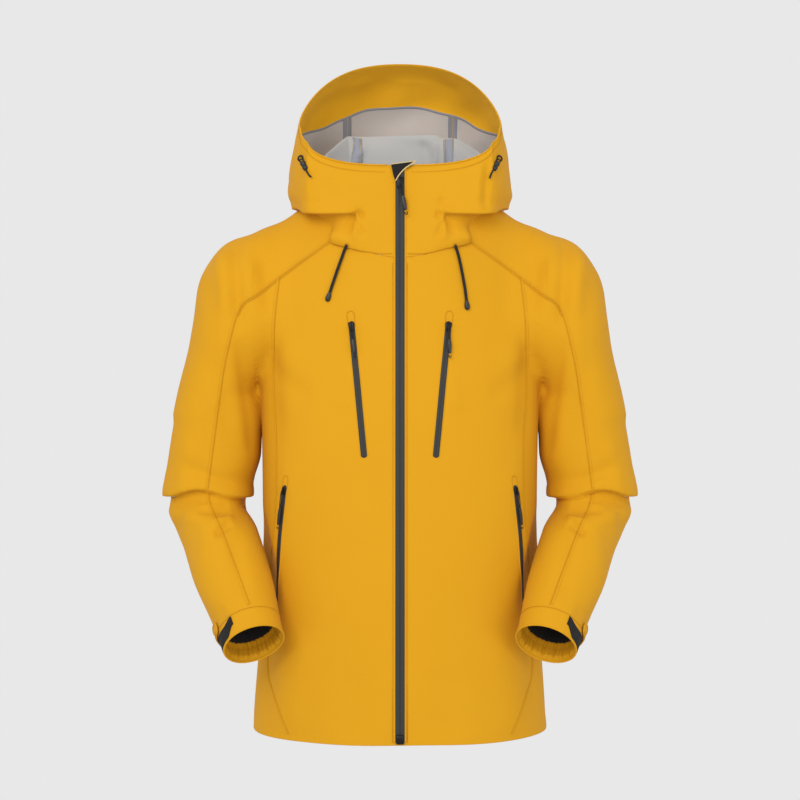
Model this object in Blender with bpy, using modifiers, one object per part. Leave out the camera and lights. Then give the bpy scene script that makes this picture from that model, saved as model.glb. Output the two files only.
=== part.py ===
"""Waterproof hardshell jacket with a helmet hood, hanging closed and filled out as if worn.

Metres, +Z up. The wearer's chest faces -Y and the wearer's left is +X. The origin is the middle
of the hanger loop at the centre back of the neck.
"""

import math

import bmesh
import bpy
from mathutils import Matrix, Vector

# Driving sizes ---------------------------------------------------------------------------------
BODY_Y = -0.075          # middle of the body, measured forward from the hanger loop
HEM_Z = -0.695           # lower edge of the body
CHIN_Z = 0.069           # top of the front zip
ZIP_LEAN = 0.050                       # how far the front zip leans back from hem to chin
CLOTH = 0.0012           # thickness of one layer of shell fabric
GAP = 0.0003             # clearance between touching pieces
SEAM = math.radians(0.12)  # half the clearance between panels, as an angle round the body

# Body rings, from the hem up: height, half width, back depth and squareness of the ring
RINGS = [
    (-0.695, 0.2040, 0.128, 2.4),
    (-0.600, 0.1975, 0.130, 2.4),
    (-0.450, 0.1925, 0.134, 2.4),
    (-0.300, 0.1930, 0.140, 2.4),
    (-0.200, 0.1960, 0.142, 2.3),
    (-0.120, 0.1985, 0.138, 2.1),
    (-0.060, 0.1995, 0.124, 1.7),
    (-0.030, 0.1990, 0.112, 1.4),
    (-0.012, 0.1960, 0.103, 1.25),
    (0.000, 0.1840, 0.096, 1.2),
    (0.012, 0.1580, 0.089, 1.3),
    (0.026, 0.1240, 0.081, 1.6),
    (0.038, 0.1010, 0.077, 2.0),
]

# Seams: round the body as angles from the front zip, and up the body as heights
ZIP_HALF = 0.0068                      # half the width of the visible zip band
PRINCESS = math.radians(57)            # front seam of the side panel
BACK_SEAM = math.radians(124)          # back seam of the side panel
YOKE_Z = -0.070                        # height where the yoke seam meets the side panel
YOKE_SLANT = math.radians(22)          # how far the yoke's front seam turns outward as it rises
NECK_FRONT_Z = -0.055                  # neck seam at the zip
NECK_SIDE_Z = 0.030                    # neck seam at the side and back of the neck

# Armhole and sleeve: centre (x, z), out direction as an angle, half width and half depth
ARMHOLE = (0.115, 0.104, 0.086)        # depth of the centre below the origin, half height, half depth
SLEEVE = [
    # centre x and z, lean of the outer side in degrees, half width, half depth
    (0.2245, -0.1260, 76.5, 0.0987, 0.084),
    (0.2420, -0.1600, 61.0, 0.0835, 0.080),
    (0.2480, -0.2125, 37.0, 0.0617, 0.073),
    (0.2565, -0.2670, 8.0, 0.0591, 0.067),
    (0.2605, -0.3065, 5.0, 0.0615, 0.065),
    (0.2640, -0.3450, 4.6, 0.0622, 0.063),
]
ELBOW = Vector((0.2720, BODY_Y, -0.3850))
WRIST = Vector((0.1960, BODY_Y - 0.155, -0.5640))
FOREARM_START = 0.050                  # from the elbow to where the forearm tube begins
FOREARM_WIDTHS = [(0.0, 0.0580), (0.35, 0.0525), (0.7, 0.0465), (1.0, 0.0415)]
CUFF_LENGTH = 0.030

# Hood: rings that fan out of a line under the chin, from the neck seam to the face rim
HOOD_PIVOT = (BODY_Y - 0.116, -0.061)
HOOD_RINGS = [
    # angle, farthest radius, half width, squareness below and above, rise of the sides
    (26.0, 0.216, 0.098, 2.0, 2.0, 0.044),
    (29.0, 0.250, 0.122, 2.0, 2.0, 0.040),
    (35.0, 0.298, 0.150, 2.1, 2.0, 0.010),
    (47.0, 0.342, 0.156, 2.4, 2.0, -0.012),
    (62.0, 0.329, 0.147, 2.7, 2.0, -0.006),
    (80.0, 0.272, 0.1355, 3.0, 2.0, 0.000),
]
COLLAR_ANGLE = 33.0                    # where the moving hood parts from the fixed collar
COLLAR_GAP = 0.6                       # clearance there, in the same degrees
RIM_ANGLE = 79.6                       # face rim, which meets the top of the zip
RIM_LEAN = 17.6                        # how much further back the rim is at the crown than at the chin
LEAN_ANGLE = 47.0                      # ring from which the hood leans back to reach that rim
LEAN_TURN = math.radians(60)           # how far round the rim the lean begins
CHEEK = math.radians(50)               # edge of the collar front, round the hood rings


# Small helpers ----------------------------------------------------------------------------------
def smooth_row(rows, key):
    """A row read from a table at key, on a smooth curve through the table's rows."""
    key = min(max(key, rows[0][0]), rows[-1][0])
    i = 0
    while i < len(rows) - 2 and key > rows[i + 1][0]:
        i += 1
    low, high = rows[i], rows[i + 1]
    before, after = rows[max(i - 1, 0)], rows[min(i + 2, len(rows) - 1)]
    span = high[0] - low[0]
    t = (key - low[0]) / span
    out = []
    for k in range(1, len(low)):
        start = (high[k] - before[k]) / max(high[0] - before[0], 1e-9) * span
        end = (after[k] - low[k]) / max(after[0] - low[0], 1e-9) * span
        out.append(
            low[k] * (2 * t**3 - 3 * t**2 + 1)
            + start * (t**3 - 2 * t**2 + t)
            + high[k] * (3 * t**2 - 2 * t**3)
            + end * (t**3 - t**2)
        )
    return out


def smoothstep(value):
    value = min(max(value, 0.0), 1.0)
    return value * value * (3 - 2 * value)


def power(value, exponent):
    return math.copysign(abs(value) ** exponent, value)


def steps(low, high, count):
    return [low + (high - low) * i / count for i in range(count + 1)]


def front_y(z):
    """The straight line of the front zip, leaning back as it rises."""
    return BODY_Y - 0.142 + ZIP_LEAN * (z - HEM_Z) / (CHIN_Z - HEM_Z)


# Surfaces ---------------------------------------------------------------------------------------
def body_point(angle, z, side=1):
    """A point on the outside of the body, angle from the front centre towards the side."""
    half_width, back, square = smooth_row(RINGS, z)
    front = BODY_Y - front_y(z)
    depth = front if math.cos(angle) > 0 else back
    x = half_width * power(math.sin(angle), 2 / square)
    y = BODY_Y - depth * power(math.cos(angle), 2 / square)
    return Vector((side * x, y, z))


def body_side(y, z):
    """Half width of the body at a given depth and height."""
    half_width, back, square = smooth_row(RINGS, z)
    depth = BODY_Y - front_y(z) if y < BODY_Y else back
    inside = 1 - min(abs(y - BODY_Y) / depth, 1) ** square
    return half_width * inside ** (1 / square)


def armhole_point(turn, reach=0.0):
    """The armhole's edge on the body side, moved out by reach."""
    low, half_height, half_depth = ARMHOLE
    y = BODY_Y - half_depth * math.sin(turn)
    z = -low + half_height * math.cos(turn)
    return Vector((body_side(y, z) + reach, y, z))


def sleeve_ring(turn, row):
    """A point on one ring of the upper sleeve."""
    x, z, lean, half_width, half_depth = row
    lean = math.radians(lean)
    out = Vector((math.cos(lean), 0, math.sin(lean)))
    centre = Vector((x, BODY_Y, z))
    return centre + out * half_width * math.cos(turn) - Vector((0, half_depth * math.sin(turn), 0))


def sleeve_point(turn, t):
    """Upper sleeve: t is 0 at its first ring and 1 at its last, turn 0 is the outside."""
    rows = [(i / (len(SLEEVE) - 1),) + row for i, row in enumerate(SLEEVE)]
    return sleeve_ring(turn, smooth_row(rows, t))


def forearm_frame():
    """The forearm's direction, and the two directions across it."""
    along = (WRIST - ELBOW).normalized()
    across = along.cross(Vector((0, -1, 0))).normalized()
    if across.x < 0:
        across = -across
    return along, across, across.cross(along)


def forearm_point(turn, t, grow=0.0):
    """Forearm: t is 0 at the elbow end and 1 at the cuff's edge, turn 0 is the outside."""
    along, across, up = forearm_frame()
    start = ELBOW + along * FOREARM_START
    radius = smooth_row(FOREARM_WIDTHS, t)[0] + grow
    if up.y < 0:
        up = -up
    return start.lerp(WRIST, t) + across * radius * math.cos(turn) - up * radius * math.sin(turn)


def chin_radius(fan):
    """Distance from the hood's pivot to the straight line of the zip."""
    lean = ZIP_LEAN / (CHIN_Z - HEM_Z)
    ahead = front_y(HOOD_PIVOT[1]) - HOOD_PIVOT[0]
    return ahead / (math.cos(fan) - lean * math.sin(fan))


def hood_point(turn, angle, side=1, grow=0.0):
    """Hood: angle fans from the neck to the face rim, turn 0 is under the chin, pi the crown."""
    lean = smoothstep((angle - LEAN_ANGLE) / (RIM_ANGLE - LEAN_ANGLE))
    angle -= RIM_LEAN * lean * smoothstep((math.acos(math.cos(turn)) - LEAN_TURN) / (math.pi - LEAN_TURN))
    far, half_width, below, above, rise = smooth_row(HOOD_RINGS, angle)
    fan = math.radians(angle)
    near = chin_radius(fan)
    middle, half = (near + far) / 2, (far - near) / 2 + grow
    square = below if math.cos(turn) > 0 else above
    radius = middle - half * power(math.cos(turn), 2 / square)
    x = (half_width + grow) * power(math.sin(turn), 2 / square)
    y = HOOD_PIVOT[0] + radius * math.cos(fan)
    z = HOOD_PIVOT[1] + radius * math.sin(fan) + rise * abs(math.sin(turn)) ** 3
    return Vector((side * x, y, z))


# Object making ----------------------------------------------------------------------------------
COLOURS = {
    "shell": ((0.80, 0.37, 0.02, 1), 0.75, 0.0),
    "backer": ((0.55, 0.55, 0.52, 1), 0.8, 0.0),
    "tape": ((0.33, 0.36, 0.42, 1), 0.6, 0.0),
    "zip": ((0.045, 0.047, 0.05, 1), 0.55, 0.0),
    "slider": ((0.03, 0.03, 0.032, 1), 0.35, 0.8),
    "cord": ((0.02, 0.02, 0.022, 1), 0.8, 0.0),
    "plastic": ((0.02, 0.02, 0.02, 1), 0.45, 0.0),
    "hook": ((0.02, 0.02, 0.022, 1), 0.95, 0.0),
}


def material(kind):
    found = bpy.data.materials.get(kind)
    if found:
        return found
    colour, roughness, metallic = COLOURS[kind]
    made = bpy.data.materials.new(kind)
    made.use_nodes = True
    shader = made.node_tree.nodes["Principled BSDF"]
    shader.inputs["Base Color"].default_value = colour
    shader.inputs["Roughness"].default_value = roughness
    shader.inputs["Metallic"].default_value = metallic
    return made


def add_object(name, data, kind, parent=None):
    """Put a mesh or curve in the jacket's collection, with its origin on its parent's joint."""
    data.materials.clear()
    data.materials.append(material(kind))
    made = bpy.data.objects.new(name, data)
    bpy.data.collections["hardshell_jacket"].objects.link(made)
    if parent is not None:
        made.parent = parent
        made.matrix_parent_inverse = Matrix.Translation(-parent.location)
    return made


def joint_empty(name, place):
    made = bpy.data.objects.new(name, None)
    made.location = place
    bpy.data.collections["hardshell_jacket"].objects.link(made)
    return made


def sheet(name, point, us, vs, kind, thickness=CLOTH, inset=0.0, closed=False, flip=False, parent=None):
    """A panel: a grid of point(u, v), given thickness towards its inside by Solidify."""
    mesh = bmesh.new()
    grid = [[mesh.verts.new(point(u, v)) for u in us] for v in vs]
    columns = len(us) if closed else len(us) - 1
    for lower, upper in zip(grid, grid[1:]):
        for i in range(columns):
            j = (i + 1) % len(us)
            corners = [lower[i], lower[j], upper[j], upper[i]]
            mesh.faces.new(corners[::-1] if flip else corners)
    mesh.normal_update()
    if inset:
        moved = [(vert, vert.co - vert.normal * inset) for vert in mesh.verts]
        for vert, place in moved:
            vert.co = place
    data = bpy.data.meshes.new(name)
    mesh.to_mesh(data)
    mesh.free()
    made = add_object(name, data, kind, parent)
    solid = made.modifiers.new("thickness", "SOLIDIFY")
    solid.thickness = thickness
    solid.offset = -1
    return made


def box(name, size, place, kind, turn=None, bevel=0.0, parent=None):
    """A block turned by a matrix, with its long edges rounded where bevel is given."""
    mesh = bmesh.new()
    bmesh.ops.create_cube(mesh, size=1.0)
    bmesh.ops.scale(mesh, vec=Vector(size), verts=mesh.verts)
    if bevel:
        bmesh.ops.bevel(mesh, geom=mesh.edges, offset=bevel, segments=2, affect="EDGES", profile=0.5)
    move = Matrix.Translation(place) @ (turn.to_4x4() if turn else Matrix.Identity(4))
    bmesh.ops.transform(mesh, matrix=move, verts=mesh.verts)
    data = bpy.data.meshes.new(name)
    mesh.to_mesh(data)
    mesh.free()
    return add_object(name, data, kind, parent)


def tube(name, points, radius, kind, sides=2, parent=None):
    """A round cord through points, with filled ends."""
    curve = bpy.data.curves.new(name, "CURVE")
    curve.dimensions = "3D"
    curve.bevel_depth = radius
    curve.bevel_resolution = sides
    curve.use_fill_caps = True
    spline = curve.splines.new("POLY")
    spline.points.add(len(points) - 1)
    for knot, place in zip(spline.points, points):
        knot.co = (*place, 1.0)
    return add_object(name, curve, kind, parent)


def flat_frame(along, out):
    """A turn whose local Z runs along a line and whose local Y faces into the cloth."""
    along = along.normalized()
    across = along.cross(out).normalized()
    facing = across.cross(along)
    return Matrix((across, -facing, along)).transposed()


def side_name(base, side):
    return f"{base}_left" if side > 0 else f"{base}_right"


# Body panels ------------------------------------------------------------------------------------
YOKE_GAP = 0.001
BODY_STEPS = [0.0, 0.15, 0.3, 0.45, 0.6, 0.74, 0.86, 0.94, 1.0]
TOP_STEPS = [1.001, 1.2, 1.4, 1.55, 1.7, 1.8, 1.9, 2.0]


def zip_angle(z):
    """Angle of the edge of the front panel along the zip."""
    half_width, _, square = smooth_row(RINGS, z)
    return math.asin(((ZIP_HALF + GAP) / half_width) ** (square / 2))


def neck_z(angle):
    """Height of the neck seam, lowest at the zip."""
    turned = min(abs(angle), 2 * math.pi - abs(angle)) / math.radians(78)
    return NECK_FRONT_Z + (NECK_SIDE_Z - NECK_FRONT_Z) * min(1.0, turned) ** 1.7


def body_at(angle, level):
    """Height at a level: 0 is the hem, 1 the foot of the yoke and 2 the neck seam."""
    if level <= 1:
        return HEM_Z + (YOKE_Z - YOKE_GAP - HEM_Z) * level
    return YOKE_Z + (neck_z(angle) - YOKE_Z) * (level - 1)


def front_seam(level):
    return PRINCESS + YOKE_SLANT * max(0.0, level - 1)


def body_panel(name, start, end, levels, count, side=1, kind="shell", parent=None):
    """A panel between two seams; start and end give their angle at each level."""

    def place(u, level):
        low, high = start(level) + SEAM, end(level) - SEAM
        angle = low + (high - low) * u
        return body_point(angle, body_at(angle, level), side)

    return sheet(name, place, steps(0, 1, count), levels, kind, flip=side < 0, parent=parent)


def front_panel(side):
    def start(level):
        return zip_angle(body_at(0.0, level))

    levels = BODY_STEPS + TOP_STEPS[1:]
    body_panel(side_name("front_panel", side), start, front_seam, levels, 8, side)


def armhole_cutter():
    """A wide elliptical bar through both armholes."""
    low, half_height, half_depth = ARMHOLE
    inside = 0.014
    mesh = bmesh.new()
    bmesh.ops.create_cone(mesh, cap_ends=True, segments=24, radius1=1, radius2=1, depth=1.0)
    turn = Matrix.Rotation(math.pi / 2, 4, "Y")
    size = Matrix.Diagonal((1.0, half_depth - inside, half_height - inside, 1.0))
    move = Matrix.Translation((0, BODY_Y, -low))
    bmesh.ops.transform(mesh, matrix=move @ size @ turn, verts=mesh.verts)
    data = bpy.data.meshes.new("armhole_cutter")
    mesh.to_mesh(data)
    mesh.free()
    made = bpy.data.objects.new("armhole_cutter", data)
    bpy.data.collections["cutters"].objects.link(made)
    made.hide_render = True
    made.display_type = "WIRE"
    return made


def cut(target, cutter, operation="DIFFERENCE"):
    made = target.modifiers.new(operation.lower(), "BOOLEAN")
    made.operation = operation
    made.object = cutter


def side_panel(side, cutter):
    made = body_panel(
        side_name("side_panel", side),
        lambda level: PRINCESS,
        lambda level: BACK_SEAM,
        BODY_STEPS,
        8,
        side,
    )
    cut(made, cutter)


def yoke(side, cutter):
    made = body_panel(
        side_name("yoke", side), front_seam, lambda level: BACK_SEAM, TOP_STEPS, 10, side
    )
    cut(made, cutter)


def back_panel():
    body_panel(
        "back_panel",
        lambda level: BACK_SEAM,
        lambda level: 2 * math.pi - BACK_SEAM,
        BODY_STEPS + TOP_STEPS[1:],
        14,
    )


# Hood and collar --------------------------------------------------------------------------------
HOOD_SEAM = math.radians(0.5)
COLLAR_ROWS = [26.0, 28.0, 30.0, COLLAR_ANGLE - COLLAR_GAP]
HOOD_ROWS = [COLLAR_ANGLE, 36.0, 40.0, 46.0, 52.0, 60.0, 68.0, 74.0, 77.5, RIM_ANGLE]


def hood_panel(name, start, end, angles, count, side=1, kind="shell", **options):
    """A panel of the hood or collar, from one turn to another at each ring."""

    def place(u, angle):
        first = start(angle) if callable(start) else start
        turn = first + HOOD_SEAM + (end - first - 2 * HOOD_SEAM) * u
        return hood_point(turn, angle, side)

    return sheet(name, place, steps(0, 1, count), angles, kind, flip=side < 0, **options)


def collar_front(side):
    """Front of the collar, from the neck seam up to the face rim beside the zip."""

    def start(angle):
        _, half_width, square, _, _ = smooth_row(HOOD_RINGS, angle)
        return math.asin(((ZIP_HALF + GAP) / half_width) ** (square / 2))

    hood_panel(side_name("collar_front", side), start, CHEEK, COLLAR_ROWS + HOOD_ROWS, 6, side)


def collar_back():
    hood_panel("collar_back", CHEEK, 2 * math.pi - CHEEK, COLLAR_ROWS, 24)


def hood(joint):
    """The moving hood: two sides, a crown between them and the facing inside the rim."""
    seam = math.radians(150)
    for side in (1, -1):
        name = side_name("hood_side", side)
        hood_panel(name, CHEEK, seam, HOOD_ROWS, 10, side, parent=joint)
    hood_panel("hood_crown", seam, 2 * math.pi - seam, HOOD_ROWS, 8, parent=joint)
    hood_panel(
        "hood_facing", CHEEK, 2 * math.pi - CHEEK, steps(70.0, RIM_ANGLE - 0.4, 3), 24,
        inset=CLOTH + 0.004, parent=joint,
    )


def hood_adjuster(side, joint):
    """Cord lock and its loop on the rim of the hood."""
    high = hood_point(math.radians(66), 76.5, side, grow=0.008)
    low = hood_point(math.radians(52), 76.0, side, grow=0.008)
    name = side_name("hood_adjuster", side)
    along = low - high
    turn = flat_frame(along, Vector((side, -1.5, 0)))
    size = (0.008, 0.006, along.length)
    box(name, size, (high + low) / 2, "plastic", turn, bevel=0.002, parent=joint)


# Sleeves ----------------------------------------------------------------------------------------
RING_COUNT = 20


def mirrored(point, side):
    return Vector((side * point.x, point.y, point.z))


def ring_turns():
    return [2 * math.pi * i / RING_COUNT for i in range(RING_COUNT)]


def armhole_band(side):
    """The head of the sleeve, from the body out to the moving sleeve."""

    def place(turn, t):
        if t < 0.5:
            return mirrored(armhole_point(turn, 0.003), side)
        return mirrored(sleeve_point(turn, 0.0) + Vector((-0.0022, 0, 0.0005)), side)

    sheet(side_name("armhole", side), place, ring_turns(), [0, 1], "shell", closed=True, flip=side > 0)


def sleeve_panels(side, joint):
    front, back = math.radians(90), math.radians(-95)
    spans = {"sleeve_outer": (back, front), "sleeve_under": (front, back + 2 * math.pi)}
    for base, (low, high) in spans.items():
        turns = steps(low + 3 * SEAM, high - 3 * SEAM, 10)
        sheet(
            side_name(base, side),
            lambda turn, t: mirrored(sleeve_point(turn, t), side),
            turns, steps(0, 1, 8), "shell", flip=side > 0, parent=joint,
        )


def elbow_gusset(side, joint):
    """The soft band of sleeve at the elbow, which folds when the elbow bends."""

    def place(turn, t):
        high = sleeve_point(turn, 1.0) - Vector((0, 0, 0.001))
        low = forearm_point(turn, 0.0) - forearm_frame()[0] * 0.001
        bulge = Vector((0, 0.004, 0)) * math.sin(math.pi * t)
        return mirrored(high.lerp(low, t) + bulge, side)

    sheet(
        side_name("elbow", side), place, ring_turns(), [0, 0.5, 1], "shell",
        closed=True, flip=side > 0, parent=joint,
    )


def forearm(side, joint):
    """Forearm tube and the cuff band at its end."""
    cuff_at = 1 - CUFF_LENGTH / ((WRIST - ELBOW).length - FOREARM_START)
    gap = 0.002

    def place(turn, t):
        return mirrored(forearm_point(turn, t), side)

    sheet(
        side_name("forearm", side), place, ring_turns(), steps(0, cuff_at - gap, 5), "shell",
        closed=True, flip=side > 0, parent=joint,
    )
    sheet(
        side_name("cuff", side), place, ring_turns(), steps(cuff_at, 1, 1), "shell",
        closed=True, flip=side > 0, parent=joint,
    )


def cuff_strips(side, joint, tab_joint):
    """Hook patch stitched round the outside of the cuff and the tab that closes onto it."""
    middle = 1 - 0.5 * CUFF_LENGTH / ((WRIST - ELBOW).length - FOREARM_START)
    half = 0.085
    for base, low, high, lift, kind, parent in (
        ("cuff_patch", -60, 40, 0.0016, "hook", joint),
        ("cuff_tab", -52, 62, 0.0036, "shell", tab_joint),
    ):
        narrow = half if base == "cuff_patch" else half * 0.8
        sheet(
            side_name(base, side),
            lambda turn, t: mirrored(forearm_point(turn, t, grow=lift), side),
            [math.radians(a) for a in steps(low, high, 8)],
            [middle - narrow, middle + narrow], kind,
            thickness=0.001, flip=side > 0, parent=parent,
        )


# Zips -------------------------------------------------------------------------------------------
ZIP_TOP = CHIN_Z - 0.003
ZIP_BOTTOM = HEM_Z + 0.012
TAPE = 0.0008
SLOT = 0.0008             # half the slot between the two halves of the main zip
SLIDER_Z = 0.046          # middle of the main slider when the zip is closed


def zip_line(z, lift=0.0):
    """A point on the main zip's centre line, lifted off the cloth's outer face."""
    along = Vector((0, ZIP_LEAN, CHIN_Z - HEM_Z)).normalized()
    out = Vector((0, -along.z, along.y))
    return Vector((0, front_y(z), z)) + out * lift


def bar(name, top, bottom, width, thickness, kind, out, parent=None, bevel=0.0, shift=0.0):
    """A straight strip between two points, its outer face towards out."""
    turn = flat_frame(top - bottom, out)
    across = turn @ Vector((1, 0, 0))
    place = (top + bottom) / 2 + across * shift
    size = (width, thickness, (top - bottom).length)
    return box(name, size, place, kind, turn, bevel, parent)


def main_zip(slider_joint, pull_joint):
    along = (zip_line(1) - zip_line(0)).normalized()
    out = (zip_line(0, 1) - zip_line(0)).normalized()
    width = ZIP_HALF - SLOT - GAP
    for side in (1, -1):
        bar(
            side_name("main_zip_tape", side), zip_line(ZIP_TOP, -0.0006), zip_line(ZIP_BOTTOM, -0.0006),
            width, TAPE, "zip", out, shift=side * (SLOT + width / 2),
        )
    bar("main_zip_box", zip_line(HEM_Z + 0.0115), zip_line(HEM_Z + 0.001), 0.0110, 0.004, "slider", out,
        bevel=0.0006)
    bar("storm_flap", zip_line(ZIP_TOP, -0.0055), zip_line(ZIP_BOTTOM, -0.0055), 0.024, CLOTH, "backer", out)
    bar("chin_guard", zip_line(CHIN_Z + 0.001, 0.0050), zip_line(CHIN_Z - 0.012, 0.0050),
        0.040, 0.002, "cord", out, bevel=0.0004)

    top, bottom = SLIDER_Z + 0.0065, SLIDER_Z - 0.0065
    plate = bar("main_slider", zip_line(top, 0.0016), zip_line(bottom, 0.0016), 0.0095, 0.0022, "slider",
                out, slider_joint, bevel=0.0006)
    neck = bar("main_slider_neck", zip_line(top - 0.002), zip_line(bottom + 0.006), 0.0009, 0.0042,
               "slider", out, slider_joint)
    back = bar("main_slider_back", zip_line(top, -0.0024), zip_line(bottom, -0.0024), 0.0085, 0.0014,
               "slider", out, slider_joint)
    for piece in (neck, back):
        as_cutter(piece)
        cut(plate, piece, "UNION")
    pull_top = zip_line(SLIDER_Z + 0.001, 0.0044)
    tube("main_pull", [pull_top - along * d for d in (0.0, 0.022, 0.045)], 0.0014, "cord",
         parent=pull_joint)


def as_cutter(piece):
    """Move a helper solid to the cutters, out of the finished object."""
    bpy.data.collections["hardshell_jacket"].objects.unlink(piece)
    bpy.data.collections["cutters"].objects.link(piece)
    piece.hide_render = True
    piece.display_type = "WIRE"


# Each pocket zip: name, top and bottom (x, z), width, slider length, pull length,
# and the pocket bag's outline as (x near, x far, top, bottom)
POCKETS = [
    ("chest", (0.0650, -0.141), (0.0480, -0.321), 0.0100, 0.0120, 0.046, (0.022, 0.135, -0.135, -0.345)),
    ("hand", (0.1540, -0.359), (0.1650, -0.515), 0.0055, 0.0090, 0.040, (0.050, 0.160, -0.350, -0.600)),
]
LIFT = 0.0022            # of a pocket zip's tape above the cloth's outer face


def angle_at(x, z):
    """Angle round the body of a point on its front at a given x."""
    half_width, _, square = smooth_row(RINGS, z)
    return math.asin((x / half_width) ** (square / 2))


def cloth_point(x, z, lift=0.0):
    """A point on the front of the body, lifted along the cloth's normal."""
    place = body_point(angle_at(x, z), z)
    return place + cloth_normal(x, z) * lift


def cloth_normal(x, z):
    step = 0.002
    here = body_point(angle_at(x, z), z)
    beside = body_point(angle_at(x + step, z), z) - here
    above = body_point(angle_at(x, z + step), z + step) - here
    return beside.cross(above).normalized()


def pocket_frame(pocket):
    """Top, bottom and outward direction of a pocket zip on the wearer's left."""
    (top_x, top_z), (low_x, low_z) = pocket[1], pocket[2]
    middle = cloth_normal((top_x + low_x) / 2, (top_z + low_z) / 2)
    top, low = cloth_point(top_x, top_z, LIFT), cloth_point(low_x, low_z, LIFT)
    along = (top - low).normalized()
    out = (middle - along * middle.dot(along)).normalized()
    return top, low, along, out


def pocket(spec, side, slider_joint, pull_joint):
    base, _, _, width, slider_length, pull_length, outline = spec
    top, low, along, out = pocket_frame(spec)
    flip = Vector((side, 1, 1))
    top, low, along, out = top * flip, low * flip, along * flip, out * flip
    bar(side_name(f"{base}_zip", side), top, low, width, TAPE, "zip", out)
    high = top - along * 0.003 + out * 0.0020
    bar(side_name(f"{base}_slider", side), high, high - along * slider_length, width * 0.75, 0.0022,
        "slider", out, slider_joint, bevel=0.0005)
    hang = high - along * 0.003 + out * 0.0030
    tube(side_name(f"{base}_pull", side), [hang - along * d for d in (0.0, 0.5 * pull_length, pull_length)],
         0.0013, "cord", parent=pull_joint)
    near, far, up, down = outline
    columns = [angle_at(x, (up + down) / 2) for x in steps(near, far, 4)]
    sheet(side_name(f"{base}_pocket", side), lambda u, z: body_point(u, z, side), columns,
          steps(down, up, 4), "backer", thickness=0.0015, inset=CLOTH + 0.007, flip=side < 0)


# Cords and hanger -------------------------------------------------------------------------------
DRAWCORDS = {
    -1: [(-0.0725, -0.046), (-0.0755, -0.057), (-0.0800, -0.068), (-0.0860, -0.085), (-0.0920, -0.1005)],
    1: [(0.0750, -0.046), (0.0770, -0.057), (0.0790, -0.070), (0.0815, -0.090), (0.0840, -0.1075)],
}
CORD_LIFT = 0.0060


def drawcord(side):
    """Free end of the hood's drawcord, out of the neck seam, and the drop on its end."""
    route = []
    for x, z in DRAWCORDS[side]:
        place = cloth_point(abs(x), z, CORD_LIFT)
        route.append(mirrored(place, side))
    tube(side_name("drawcord", side), route, 0.0014, "cord")
    away = (route[-1] - route[-2]).normalized()
    turn = flat_frame(-away, Vector((0, -1, 0)))
    place = route[-1] + away * (0.0055 + GAP)
    box(side_name("cord_end", side), (0.0060, 0.0040, 0.0105), place, "plastic", turn, bevel=0.0015)


def hanger_loop():
    """Flat loop of tape inside the back of the neck, with a gap for a hook."""
    half, stand, drop = 0.032, 0.009, 0.010
    back = -0.002
    route = [(-half, back, 0.004), (-half * 0.8, back - stand * 0.7, -0.002), (0, back - stand, -drop * 0.2),
             (half * 0.8, back - stand * 0.7, -0.002), (half, back, 0.004)]
    tube("hanger_loop", [Vector(p) for p in route], 0.0018, "cord")


# Build ------------------------------------------------------------------------------------------
def clear_scene():
    for old in list(bpy.data.objects):
        bpy.data.objects.remove(old)
    for name in ("hardshell_jacket", "cutters"):
        made = bpy.data.collections.new(name)
        bpy.context.scene.collection.children.link(made)


HOOD_HINGE = Vector((0, HOOD_PIVOT[0] + 0.221, HOOD_PIVOT[1] + 0.136))
SHOULDER_HINGE = Vector((0.222, BODY_Y, -0.045))
TAB_TURN = math.radians(-52)


def main():
    clear_scene()
    cutter = armhole_cutter()
    hood_joint = joint_empty("hood_joint", HOOD_HINGE)
    slider_joint = joint_empty("main_slider_joint", zip_line(SLIDER_Z))
    pull_joint = joint_empty("main_pull_joint", zip_line(SLIDER_Z + 0.001, 0.0044))
    back_panel()
    collar_back()
    hood(hood_joint)
    main_zip(slider_joint, pull_joint)
    hanger_loop()
    for side in (1, -1):
        front_panel(side)
        side_panel(side, cutter)
        yoke(side, cutter)
        collar_front(side)
        hood_adjuster(side, hood_joint)
        shoulder = joint_empty(side_name("shoulder_joint", side), mirrored(SHOULDER_HINGE, side))
        elbow = joint_empty(side_name("elbow_joint", side), mirrored(ELBOW, side))
        middle = 1 - 0.5 * CUFF_LENGTH / ((WRIST - ELBOW).length - FOREARM_START)
        tab = joint_empty(
            side_name("cuff_tab_joint", side), mirrored(forearm_point(TAB_TURN, middle, grow=0.003), side)
        )
        armhole_band(side)
        sleeve_panels(side, shoulder)
        elbow_gusset(side, elbow)
        forearm(side, elbow)
        cuff_strips(side, elbow, tab)
        drawcord(side)
        for spec in POCKETS:
            top, _, along, out = pocket_frame(spec)
            at = mirrored(top - along * 0.003 + out * 0.0020, side)
            slide = joint_empty(side_name(f"{spec[0]}_slider_joint", side), at)
            hang = mirrored(top - along * 0.006 + out * 0.0050, side)
            swing = joint_empty(side_name(f"{spec[0]}_pull_joint", side), hang)
            pocket(spec, side, slide, swing)


main()
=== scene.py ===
"""Looks of the hardshell jacket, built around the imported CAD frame. Metres, +Z up, chest facing -Y."""

import math

import bmesh
import bpy
import numpy as np
from mathutils import Matrix, Vector
from mathutils.bvhtree import BVHTree


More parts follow.
